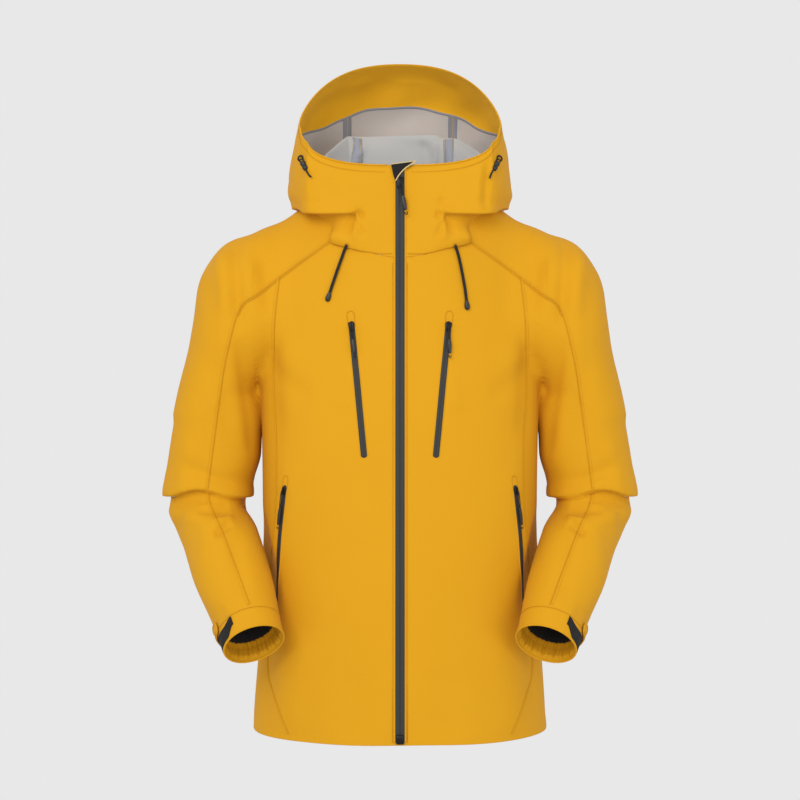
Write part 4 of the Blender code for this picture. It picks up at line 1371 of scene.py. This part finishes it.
def main_zip(skin):
    """Front zip from the hem to the chin, with its box, slider and pull."""
    heights = np.arange(HEM_Z + 0.002, CHIN_Z - 0.001, 0.0030)
    points = np.array([(0.0, front_y(z) - 0.0002, z) for z in heights])
    lean = unit((0, ZIP_LEAN, CHIN_Z - HEM_Z))
    normal = unit(np.cross(lean, (-1.0, 0, 0)))
    normal = normal if normal[1] < 0 else -normal
    normals = np.tile(normal, (len(points), 1))
    half = MAIN_HALF
    welt = mirrored([(-half - 0.0024, -0.0010), (-half - 0.0019, 0.0008), (-half, 0.0011)])
    tape = mirrored([
        (-half, 0.0006),
        (-half + 0.0004, 0.0016),
        (-0.0036, 0.0020),
        (-0.0009, 0.0021),
        (-0.0004, 0.0013),
    ])
    groove = [(-0.0006, 0.0016), (0.0, 0.0018), (0.0006, 0.0016)]
    for name, profile, look, slot, nodes in (
        ("main_zip_welt", welt, SHADED_SEAM_CLOTH, "shell", ()),
        ("main_zip_tape", tape, ZIP, "zip_tape", ("main_zip_tape_left", "main_zip_tape_right")),
        ("main_zip_centre", groove, ZIP_LINE, "zip_tape", ()),
    ):
        fasten(ribbon(name, skin, points, normals, profile, look, cling=False), "torso", slot, *nodes)
    for side, word in ((1, "left"), (-1, "right")):
        shifted = points + np.array((0.0100 * side, 0.0, 0.0))
        place, face = split([skin.near(p, normal) for p in shifted if p[2] < -0.062])
        row = stitches(f"main_zip_stitches_{word}", skin, place, face, 0.0, lift=0.0003)
        fasten(row, "torso", "shell")
    axes = frame_at((0.0, front_y(SLIDER_Z) - 0.0012, SLIDER_Z), -lean, normal)
    slider("main_slider_piece", axes, 1.25, "main_slider")
    pull("main_pull_piece", axes, 0.0470, 0.20, 1.15, "main_pull")
    axes = frame_at((0.0, front_y(BOX_Z) - 0.0008, BOX_Z), -lean, normal)
    box = oval_loft("main_zip_box_piece", axes, BOX_SECTIONS, METAL, square=5.0)
    fasten(box, "torso", "slider", "main_zip_box")


# Hood details -----------------------------------------------------------------------------------
CROWN_SEAM = 0.0780        # how far out from the middle the hood's two crown seams run
HOOD_CENTRE = np.array((0.0, BODY_Y, 0.095))


def line_at_x(points, x, most=None):
    """The line over the hood's grid, crown and back, at a distance x from the middle."""
    half = HOOD_ACROSS // 2
    found = []
    for row in points[:most]:
        part = row[half // 2: half + 1] if x > 0 else row[half: half + half // 2 + 1]
        order = np.argsort(part[:, 0])
        if part[order[0], 0] <= x <= part[order[-1], 0]:
            found.append([np.interp(x, part[order, 0], part[order, k]) for k in range(3)])
    return np.array(found)


def line_by_angle(turns, angles, points, edge):
    """The line over the hood's grid at a fan angle that depends on the turn; nothing past the rim."""
    found = []
    for c, turn in enumerate(turns):
        wanted = edge(turn)
        if wanted < RIM_ANGLE - 0.3:
            found.append([np.interp(wanted, angles, points[:, c, k]) for k in range(3)])
    return np.array(found)


def line_down(column, drop):
    """The point of one column of the hood's grid a given distance under the rim."""
    gone = distances(column[::-1])
    return [np.interp(drop, gone, column[::-1, k]) for k in range(3)]


def hood_normals(skin, points, inward=False):
    """Points on the hood nearest to others, with normals out of the hood or into it."""
    place, normals = [], []
    for point in points:
        out = unit(point - HOOD_CENTRE)
        spot, normal = skin.near(point, out)
        place.append(spot)
        normals.append(-normal if inward else normal)
    return np.array(place), np.array(normals)


def ride_with_hood(piece, slot, *nodes):
    """Bake a piece's place into its mesh and hide the CAD nodes it replaces; its slot is not used."""
    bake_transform(piece)
    if nodes:
        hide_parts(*nodes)


def flat_profile(half, height, base=-0.0002):
    """Profile of a flat tape."""
    edge = half - 0.0003
    return [(-half, base), (-edge, height), (0.0, height + 0.0001), (edge, height), (half, base)]


def inner_tape(half):
    """Profile of a tape on the hood's inner side, laid from its outer side."""
    return flat_profile(half, CLOTH + 0.0005, CLOTH - 0.0003)


def finish_hood(hood, turns, angles, points, skin):
    """Lining, facing, seams and tapes of the hood."""
    for look in (SHELL, LINING, FACING_PAINTED_LIGHT):
        hood.data.materials.append(look)
    count = len(hood.data.polygons)
    thicken(hood)
    slots = np.empty(len(hood.data.polygons), np.int32)
    hood.data.polygons.foreach_get("material_index", slots)
    turn = np.tile(turns, HOOD_UP - 1)
    angle = np.repeat(angles[:-1], HOOD_ACROSS)
    inner = slots[count: 2 * count]
    # Inner faces near the rim take the brightened facing cloth, painted light.
    inner[angle > facing_edge(turn)] = 2
    hood.data.polygons.foreach_set("material_index", slots)
    shade_smooth(hood)
    covered = ("hood_side", "hood_crown", "hood_facing", "collar_")
    ride_with_hood(hood, "shell", *[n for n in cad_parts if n.startswith(covered)])

    edge = line_by_angle(turns, angles, points, facing_edge)
    place, normals = hood_normals(skin, resampled(edge, 0.003), inward=True)
    ride_with_hood(ribbon("facing_tape", skin, place, normals, inner_tape(0.0019), TAPE), "backer")

    for side, word in ((1, "left"), (-1, "right")):
        line = resampled(line_at_x(points, CROWN_SEAM * side), 0.003)
        place, normals = hood_normals(skin, line)
        profile = [(u * side, h) for u, h in LAP]
        ride_with_hood(ribbon(f"crown_seam_{word}", skin, place, normals, profile, SHADED_SEAM_CLOTH), "shell")
        ride_with_hood(stitches(f"crown_stitches_{word}", skin, place, normals, 0.003 * side), "shell")
        most = int(np.searchsorted(angles, facing_edge(math.radians(150))))
        line = resampled(line_at_x(points, CROWN_SEAM * side, most), 0.003)
        place, inside = hood_normals(skin, line, inward=True)
        ride_with_hood(ribbon(f"crown_tape_{word}", skin, place, inside, inner_tape(0.0072), TAPE), "backer")
        row = stitches(
            f"crown_tape_stitches_{word}", skin, place, inside, 0.0,
            look=PIPING, pitch=0.0045, length=0.0030, radius=0.0004, lift=CLOTH + 0.0008,
        )
        ride_with_hood(row, "backer")
        neck_stitches(side, word, skin)

    below = [line_down(points[:, c], 0.0095) for c in range(3, HOOD_ACROSS - 3)]
    place, normals = hood_normals(skin, resampled(below, 0.003))
    ride_with_hood(stitches("rim_stitches", skin, place, normals, 0.0), "shell")
    rim = points[-1]
    brim = tube("rim_edge", np.concatenate([rim, rim[:1]])[3:-3], 0.00095, SHELL, 10)
    ride_with_hood(brim, "shell")


def neck_seam():
    """Turned seam that joins the hood to the body, all round the neck."""
    loop = np.concatenate([NECK_LOOP, NECK_LOOP[:2]])
    fasten(tube("neck_seam", loop, 0.0011, SHADED_SEAM_CLOTH, 10, caps=False), "torso", "shell")


def neck_stitches(side, word, skin):
    """Row of stitches above the neck seam at one side of the front."""
    neck = [p for p in NECK_LOOP if p[0] * side > 0.0105 and p[1] < -0.120]
    neck = sorted(neck, key=lambda p: abs(p[0]))
    place, normals = hood_normals(skin, resampled(neck, 0.003))
    place = place + (0, 0, 0.0012)
    row = stitches(f"neck_stitches_{word}", skin, place, normals, -0.0022 * side, lift=0.0006)
    ride_with_hood(row, "shell")


def neck_lining(points):
    """Lining inside the neck, from the hood's walls down into the body, over the seam."""
    to_axis = np.array((1.0, 1.0, 0.0))
    tops, mids, lows, ends = [], [], [], []
    for column, loop in zip(np.swapaxes(points, 0, 1), NECK_LOOP):
        first = int(np.argmax(column[:, 2] > 0.040))
        wall = column[first]
        inward = unit((np.array((0.0, BODY_Y, 0.0)) - wall) * to_axis)
        tops.append(wall + inward * 0.0016)
        mids.append((wall + loop) / 2 + inward * 0.0090 + (0, 0, 0.0330))
        lows.append(loop + inward * 0.0185 + (0, 0, 0.0440))
        ends.append(loop + inward * 0.0180 + (0, 0, -0.0450))
    corners = [np.array(line) for line in (tops, mids, lows, ends)]
    rows = [bezier(share, corners) for share in np.linspace(0, 1, 26)]
    fasten(dress(loft("neck_lining", rows, cap=False), LINING), "torso", "backer")


# Top edge of the collar's lining at the back: x and z in the shoulders' plane, and true depth
RIDGE = [
    (-0.1230, 0.0700, -0.098),
    (-0.1100, 0.0924, -0.090),
    (-0.0930, 0.1085, -0.066),
    (-0.0760, 0.1225, -0.044),
    (-0.0700, 0.1240, -0.038),
    (-0.0473, 0.1236, -0.030),
    (0.0, 0.1252, -0.026),
    (0.0466, 0.1260, -0.030),
    (0.0578, 0.1218, -0.036),
    (0.0788, 0.1208, -0.044),
    (0.0960, 0.1110, -0.064),
    (0.1152, 0.0970, -0.090),
    (0.1270, 0.0720, -0.098),
]
# Section of the ridge from front to back: depth and height from its top
RIDGE_SECTION = [
    (-0.012, -0.085),
    (-0.009, -0.050),
    (-0.0060, -0.020),
    (-0.0035, -0.007),
    (-0.0015, -0.0015),
    (0.0, 0.0),
    (0.0022, -0.0010),
    (0.0055, -0.0060),
    (0.012, -0.020),
    (0.022, -0.045),
    (0.030, -0.070),
]
COLLAR_TAPE_HALF = 0.0078
COLLAR_STITCHES = (("in", -0.0052), ("out", 0.0052))


def collar_lining():
    """The back of the collar's lining, standing up inside the hood in a soft ridge."""
    ridge = smooth_route(RIDGE, 0.0024)
    top = np.array([at_depth(x, z, y) for x, z, y in ridge])
    keys = np.array([(i, *row) for i, row in enumerate(RIDGE_SECTION)])
    rows = []
    for key in np.linspace(0, len(keys) - 1, 44):
        back, down = curve(keys, key)
        dents = 0.0035 * np.sin(top[:, 0] * 55 + 1.0 + down * 30) * smooth(-0.002, -0.020, down)
        dents += 0.0050 * bump(top[:, 0] + 0.35 * (down + 0.03), 0.040, 0.010) * smooth(-0.004, -0.020, down)
        dents -= 0.0040 * bump(top[:, 0] - 0.5 * (down + 0.03), -0.062, 0.008) * smooth(-0.004, -0.020, down)
        narrow = 1 - 0.10 * smooth(0, -0.08, down)
        row = top * (narrow, 1, 1) + (0, back, down)
        row[:, 1] += dents
        rows.append(row)
    made = new_mesh("collar_lining", rows, grid_faces(len(rows), len(top), closed=False))
    outward(made)
    # Its darker lining cloth is painted shade.
    made.data.materials.append(SHADED_LINING)
    surface = Skin([made])
    thicken(made, inner_slot=0)
    shade_smooth(made)
    fasten(made, "torso", "backer")
    for word, centre in (("right", -0.0610), ("left", 0.0690)):
        hits = [surface.cast((centre, -0.30, z), (0, 1, 0)) for z in np.linspace(0.128, 0.040, 40)]
        line, faces = split([hit for hit in hits if hit is not None])
        flat = flat_profile(COLLAR_TAPE_HALF, 0.0005)
        tape = ribbon(f"collar_tape_{word}", surface, line, faces, flat, TAPE, cling=False)
        fasten(tape, "torso", "backer")
        for label, offset in COLLAR_STITCHES:
            row = stitches(
                f"collar_tape_stitches_{word}_{label}", surface, line, faces, offset,
                look=PIPING, pitch=0.0040, length=0.0026, radius=0.0003, lift=0.0012,
            )
            fasten(row, "torso", "backer")


def at_depth(x, z, y):
    """The point at depth y that is seen at x, z of the shoulders' plane."""
    share = (y - EYE[1]) / (BODY_Y - EYE[1])
    return np.array((x * share, y, EYE[2] + (z - EYE[2]) * share))


# Chin guard: its two side edges in the shoulders' plane, and the picture's scale at its depth
CHIN_EDGES = [
    [(-0.0125, 0.0850), (-0.0112, 0.0790), (-0.0096, 0.0715), (-0.0070, 0.0620)],
    [
        (0.0220, 0.0895),
        (0.0140, 0.0840),
        (0.0074, 0.0795),
        (-0.0002, 0.0715),
        (-0.0050, 0.0640),
        (-0.0064, 0.0616),
    ],
]
CHIN_SCALE = 0.957
CHIN_ROWS, CHIN_COLUMNS = 36, 22


def chin_guard():
    """Black flap folded over the top of the zip, with a pale piped edge."""
    edges = []
    for edge in CHIN_EDGES:
        line = smooth_route(edge, 0.0010)
        share = np.linspace(0, 1, len(line))
        at = np.linspace(0, 1, CHIN_ROWS)
        edges.append(np.stack([np.interp(at, share, line[:, k]) for k in range(2)], axis=1))
    rows = []
    for first, last in zip(*edges):
        row = []
        for t in np.linspace(0, 1, CHIN_COLUMNS):
            x, z = first * (1 - t) + last * t
            world_z = EYE[2] + (z - EYE[2]) * CHIN_SCALE
            swell = 0.0012 * math.sin(math.pi * t) + 0.0010 * smooth(0.6, 1.0, t)
            y = front_y(world_z) - 0.0030 - swell + 0.0040 * smooth(0.068, 0.080, world_z)
            row.append(at_depth(x, z, y))
        rows.append(row)
    rows = np.array(rows)
    guard = new_mesh("chin_guard_piece", rows, grid_faces(CHIN_ROWS, CHIN_COLUMNS, closed=False))
    outward(guard)
    guard.data.materials.append(HOOK)
    thicken(guard, inner_slot=0, thickness=0.0010)
    shade_smooth(guard)
    fasten(guard, "torso", "cord", "chin_guard")
    piping = tube("chin_piping", rows[:, -1] + (0, -0.0004, 0), 0.00085, PIPING, 10)
    fasten(piping, "torso", "shell")
    rim = tube("chin_top_piping", rows[0, :] + (0, -0.0002, 0.0002), 0.00060, PIPING, 10)
    fasten(rim, "torso", "shell")


# Cord lock: height, half width, half depth, middle depth
LOCK_SECTIONS = [
    (-0.0075, 0.0022, 0.0014, 0.0032),
    (-0.0068, 0.0034, 0.0024, 0.0034),
    (-0.0030, 0.0040, 0.0030, 0.0036),
    (-0.0026, 0.0034, 0.0025, 0.0036),
    (0.0020, 0.0034, 0.0025, 0.0036),
    (0.0024, 0.0040, 0.0030, 0.0036),
    (0.0062, 0.0037, 0.0027, 0.0034),
    (0.0070, 0.0024, 0.0015, 0.0032),
]


def adjuster(skin, side, word):
    """Cord lock at the rim's corner: barrel, metal eyelet, a loop of cord above and a cord tail below."""
    ends = []
    for x, z in ((-0.1387, 0.0942), (-0.1248, 0.0686)):
        place, _ = skin.seen(x * side, z)
        ends.append(skin.near((abs(place[0]) * side, place[1], place[2]))[0])
    high, low = ends
    out = unit(np.array((0.45 * side, -1.0, 0.15)))
    axes = frame_at((high + low) / 2 + out * 0.0008, low - high, out)
    half = np.linalg.norm(high - low) / 2
    barrel = oval_loft(f"hood_lock_{word}", axes, LOCK_SECTIONS, PLASTIC)
    turn = np.linspace(-0.25 * math.pi, 1.25 * math.pi, 30)
    level = np.ones(len(turn))
    loop = np.stack([0.0036 * np.cos(turn), -0.0030 * level, half - 0.0034 + 0.0040 * np.sin(turn)], axis=1)
    loop = np.concatenate([[(0.0016, -0.0034, 0.004)], loop, [(-0.0016, -0.0034, 0.004)]])
    tail = [
        (0, -0.0034, -0.006),
        (0.0006, -0.0036, -0.010),
        (0.0002, -0.0030, -half - 0.001),
        (-0.001, -0.0012, -half - 0.004),
    ]
    turn = turn * 1.35
    eyelet = np.stack([0.0032 * np.cos(turn), -0.0006 * level, half - 0.0005 + 0.0032 * np.sin(turn)], axis=1)
    made = [
        tube(f"lock_loop_{word}", placed(axes, smooth_route(loop, 0.0007)), 0.00115, CORD),
        tube(f"lock_tail_{word}", placed(axes, smooth_route(tail, 0.0008)), 0.00125, CORD),
        tube(f"lock_eyelet_{word}", placed(axes, eyelet), 0.0007, METAL),
    ]
    ride_with_hood(join(f"hood_lock_{word}", [barrel] + made), "plastic", f"hood_adjuster_{word}")


# Drawcords: routes in the shoulders' plane, and where their ends hang
DRAWCORDS = {
    "right": [
        (-0.0739, -0.0280),
        (-0.0770, -0.0360),
        (-0.0795, -0.0434),
        (-0.0865, -0.0630),
        (-0.0925, -0.0800),
        (-0.0977, -0.0952),
    ],
    "left": [
        (0.0767, -0.0280),
        (0.0790, -0.0365),
        (0.0816, -0.0462),
        (0.0865, -0.0700),
        (0.0902, -0.0900),
        (0.0928, -0.1092),
    ],
}
CORD_RADIUS = 0.0020
# Drop-shaped end: height, half width, half depth, middle depth
CORD_END_SECTIONS = [
    (-0.0125, 0.0006, 0.0005, 0.0),
    (-0.0118, 0.0024, 0.0018, 0.0),
    (-0.0090, 0.0036, 0.0026, 0.0),
    (-0.0055, 0.0035, 0.0026, 0.0),
    (-0.0010, 0.0024, 0.0020, 0.0),
    (0.0022, 0.0019, 0.0018, 0.0),
    (0.0026, 0.0012, 0.0012, 0.0),
]


def drawcord(skin, word):
    """The free end of a hood drawcord with its drop-shaped end and the hole it comes out of."""
    route = smooth_route(DRAWCORDS[word], 0.0026)
    path = []
    for i, (x, z) in enumerate(route):
        place, normal = skin.seen(x, z)
        share = i / (len(route) - 1)
        path.append(place + normal * (0.0023 + 0.0010 * math.sin(math.pi * share)))
    path = np.array(path)
    path[0] += (0, 0.0010, 0)
    path = smooth_route(path[:: max(len(path) // 9, 1)], 0.0022)
    cord = tube(f"drawcord_{word}_braid", path, CORD_RADIUS, CORD, 14)
    fasten(cord, "torso", "cord", f"drawcord_{word}")
    axes = frame_at(path[-1], unit(path[-1] - path[-4]), (0, -1, 0))
    end = oval_loft(f"cord_end_{word}_cap", axes, CORD_END_SECTIONS, PLASTIC, square=2.2)
    fasten(end, "torso", "plastic", f"cord_end_{word}")
    place, normal = skin.near(path[0], (0, -1, 0))
    turn = np.linspace(0, 2 * math.pi, 25)[:, None]
    side = unit(np.cross(normal, (0, 0, 1.0)))
    up = np.cross(side, normal)
    ring = place + normal * 0.0006 + 0.0026 * (side * np.cos(turn) + up * np.sin(turn))
    fasten(tube(f"cord_exit_{word}", ring, 0.0007, THREAD, 8), "torso", "shell")


# Cuffs ------------------------------------------------------------------------------------------
CUFF_SHIFT = np.array((-FOREARM_IN, 0.0, 0.0))
CUFF_FINE = 432            # points round the gathered band
GATHERS = 34
PATCH_TURNS = (math.radians(-40), math.radians(74))
TAB_TURNS = (math.radians(-47), math.radians(34))


def cuff_axis(along, side):
    """The forearm's middle at a distance from the elbow."""
    return (ELBOW + ALONG * along + CUFF_SHIFT) * (side, 1, 1)


def cuff_out(turn, side):
    """Direction out of the forearm at a turn round it."""
    return (ACROSS * math.cos(turn) + TOWARD * math.sin(turn)) * (side, 1, 1)


def cuff_hit(skin, turn, along, side):
    """A point of the forearm's cloth and its outward normal, by turn and distance from the elbow."""
    inside = min(along, ARM_LENGTH - 0.0050)
    out = cuff_out(turn, side)
    place, normal = skin.cast(cuff_axis(inside, side), out)
    return place + ALONG * (side, 1, 1) * (along - inside), -normal


def cuff_sheet(name, skin, side, turns, edges, height, look, thickness=0.0010):
    """A shaped strip on the cuff: edges gives its two distances from the elbow for each turn."""
    rows = []
    for turn in turns:
        low, high = edges(turn)
        row = []
        for along in np.linspace(low, high, 12):
            place, normal = cuff_hit(skin, turn, along, side)
            row.append(place + normal * height)
        rows.append(row)
    made = new_mesh(name, rows, grid_faces(len(turns), 12, closed=False))
    outward(made)
    out = cuff_out(turns[len(turns) // 2], side)
    if (normals_of(made) @ out).mean() < 0:
        mesh = edit(made)
        bmesh.ops.reverse_faces(mesh, faces=mesh.faces)
        done(made, mesh)
    made.data.materials.append(look)
    thicken(made, inner_slot=0, thickness=thickness)
    shade_smooth(made)
    return made


def cuff(skin, side, word):
    """Hem, gathered band, lining, hook patch and tab of one cuff."""
    body = f"forearm_{word}"
    rim = ARM_LENGTH - 0.0036
    turns = full_turn(144)

    points, normals = split([cuff_hit(skin, t, ARM_LENGTH - 0.030, side) for t in turns])
    fasten(stitches(f"cuff_stitches_{word}", skin, points, normals, 0.0), body, "shell")
    edge, normals = split([cuff_hit(skin, t, rim, side) for t in turns])
    lip = edge - normals * 0.0004 + ALONG * (side, 1, 1) * 0.0010
    hem = tube(f"cuff_edge_{word}", np.concatenate([lip, lip[:2]]), 0.0012, SHELL, 10, caps=False)
    fasten(hem, body, "shell")

    radius = np.linalg.norm(edge - cuff_axis(rim, side), axis=1)
    fine = full_turn(CUFF_FINE)
    radius = np.interp(fine, np.append(turns, 2 * math.pi), np.append(radius, radius[0]))
    chance = np.random.default_rng(40 + side)
    phase = np.cumsum(chance.uniform(0.6, 1.4, CUFF_FINE))
    phase = phase / phase[-1] * 2 * math.pi * GATHERS
    directions = np.array([cuff_out(t, side) for t in fine])

    def inner_rings(start, stop, count):
        """Rings inside the cuff between two depths from its rim, gathered near the rim."""
        rings = []
        for depth in np.linspace(start, stop, count):
            gather = 0.0015 * smooth(0.002, 0.008, depth) * (1 - 0.7 * smooth(0.020, 0.032, depth))
            inset = 0.0012 + 0.0032 * smooth(0.0, 0.009, depth) + 0.0022 * smooth(0.018, 0.026, depth)
            inset = inset - 0.003 * smooth(0.03, 0.09, depth)
            wave = gather * (0.6 * np.sin(phase) + 0.4 * np.sin(phase * 0.5 + 1))
            reach = radius - inset + wave
            rings.append(cuff_axis(rim - depth + 0.0006, side) + directions * reach[:, None])
        return rings

    rings = inner_rings(0.0, 0.026, 22)
    band = dress(loft(f"cuff_gather_{word}", rings, cap=False), SHADED_SEAM_CLOTH)
    fasten(band, body, "shell", f"cuff_{word}")
    for row, label in ((6, "front"), (13, "back")):
        line = np.concatenate([rings[row], rings[row][:2]])[::3]
        channel = tube(f"cuff_elastic_{label}_{word}", line, 0.0004, THREAD, 6, caps=False)
        fasten(channel, body, "shell")
    # The lining runs deep and draws nearly shut: a near-black sheet of painted shade inside the sleeve.
    deepest = 0.120
    rings = inner_rings(0.0255, deepest, 20)
    middle = cuff_axis(rim - deepest, side)
    rings.append(middle + (rings[-1] - middle) * 0.02)
    lining = dress(loft(f"cuff_lining_{word}", rings, cap=False), CUFF_LINING_SHADE)
    fasten(lining, body, "cord")

    def patch_edges(turn):
        """Outer and inner edge of the hook patch, with its slanted ends."""
        first, last = PATCH_TURNS
        share = (turn - first) / (last - first)
        rise = 0.0060 * smooth(0.78, 1.0, share) - 0.0120 * smooth(0.14, 0.0, share)
        return rim - 0.0012 - 0.0120 * smooth(0.80, 1.0, share), rim - 0.0190 - rise

    turns = np.linspace(*PATCH_TURNS, 40)
    patch = cuff_sheet(f"cuff_hook_{word}", skin, side, turns, patch_edges, 0.0011, HOOK)
    fasten(patch, body, "hook", f"cuff_patch_{word}")

    def tab_edges(turn):
        """Outer and inner edge of the tab, with its rounded end."""
        first, last = TAB_TURNS
        share = (turn - first) / (last - first)
        taper = 0.0065 * (1 - math.sqrt(max(1 - max((share - 0.90) / 0.10, 0) ** 2, 0)))
        return rim - 0.0215 - taper, rim - 0.0385 + taper

    turns = np.linspace(*TAB_TURNS, 44)
    tab = cuff_sheet(f"cuff_strap_{word}", skin, side, turns, tab_edges, 0.0036, SHELL, thickness=0.0016)
    fasten(tab, f"cuff_tab_{word}", "shell", f"cuff_tab_{word}")
    turns = np.linspace(TAB_TURNS[0] + 0.05, TAB_TURNS[1] - 0.09, 40)
    for offset, label in ((-0.0245, "low"), (-0.0355, "high")):
        place, normals = split([cuff_hit(skin, t, rim + offset, side) for t in turns])
        row = stitches(f"cuff_strap_stitches_{label}_{word}", skin, place, normals, 0.0, lift=0.0038)
        fasten(row, f"cuff_tab_{word}", "shell")


# Inside -----------------------------------------------------------------------------------------
def hanger():
    """Woven loop at the back of the neck, to hang the jacket by."""
    low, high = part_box("hanger_loop")
    y = (low[1] + high[1]) / 2
    turn = np.linspace(0, math.pi, 40)
    radius = 0.0012
    half = (high[0] - low[0]) / 2 - radius
    hang = 0.0045 * np.sin(turn)
    line = np.stack([half * np.cos(turn), y + 0.0015 * np.sin(turn), high[2] - 0.0015 - hang], axis=1)
    fasten(tube("hanger_loop_cord", line, radius, CORD, 12), "torso", "cord", "hanger_loop")


def repaint():
    """Cloth for the CAD nodes that no piece replaces."""
    for name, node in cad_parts.items():
        if node.hide_render:
            continue
        look = POCKET if "pocket" in name else LINING
        for holder in node.material_slots:
            holder.material = look


make_studio()
shell = shell_surface()
sculpt_shell(shell)
shade_smooth(shell)
hood, hood_turns, hood_angles, hood_grid_points = make_hood()
shade_smooth(hood)
skin = Skin([shell])
hood_skin = Skin([hood])
front_skin = Skin([shell, hood])
body_skin = body_only(shell)

for look in (SHELL, LINING):
    shell.data.materials.append(look)
thicken(shell)
shade_smooth(shell)
cloth = ride_with_sleeves(shell, arm=face_means(shell, stored(shell, "arm")))
covered = ("front_panel", "side_panel", "yoke", "back_panel", "armhole", "sleeve", "elbow", "forearm")
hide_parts(*[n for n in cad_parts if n.startswith(covered)])
finish_hood(hood, hood_turns, hood_angles, hood_grid_points, hood_skin)
all_seams(skin, body_skin)
neck_seam()
collar_lining()
neck_lining(hood_grid_points)
chin_guard()
main_zip(skin)
for side, word in ((1, "left"), (-1, "right")):
    chest_zip(skin, side, word, 0.14 if side > 0 else 0.02)
    hand_zip(body_skin, side, word)
    adjuster(hood_skin, side, word)
    drawcord(front_skin, word)
    cuff(skin, side, word)
hanger()
repaint()

bpy.context.view_layer.update()
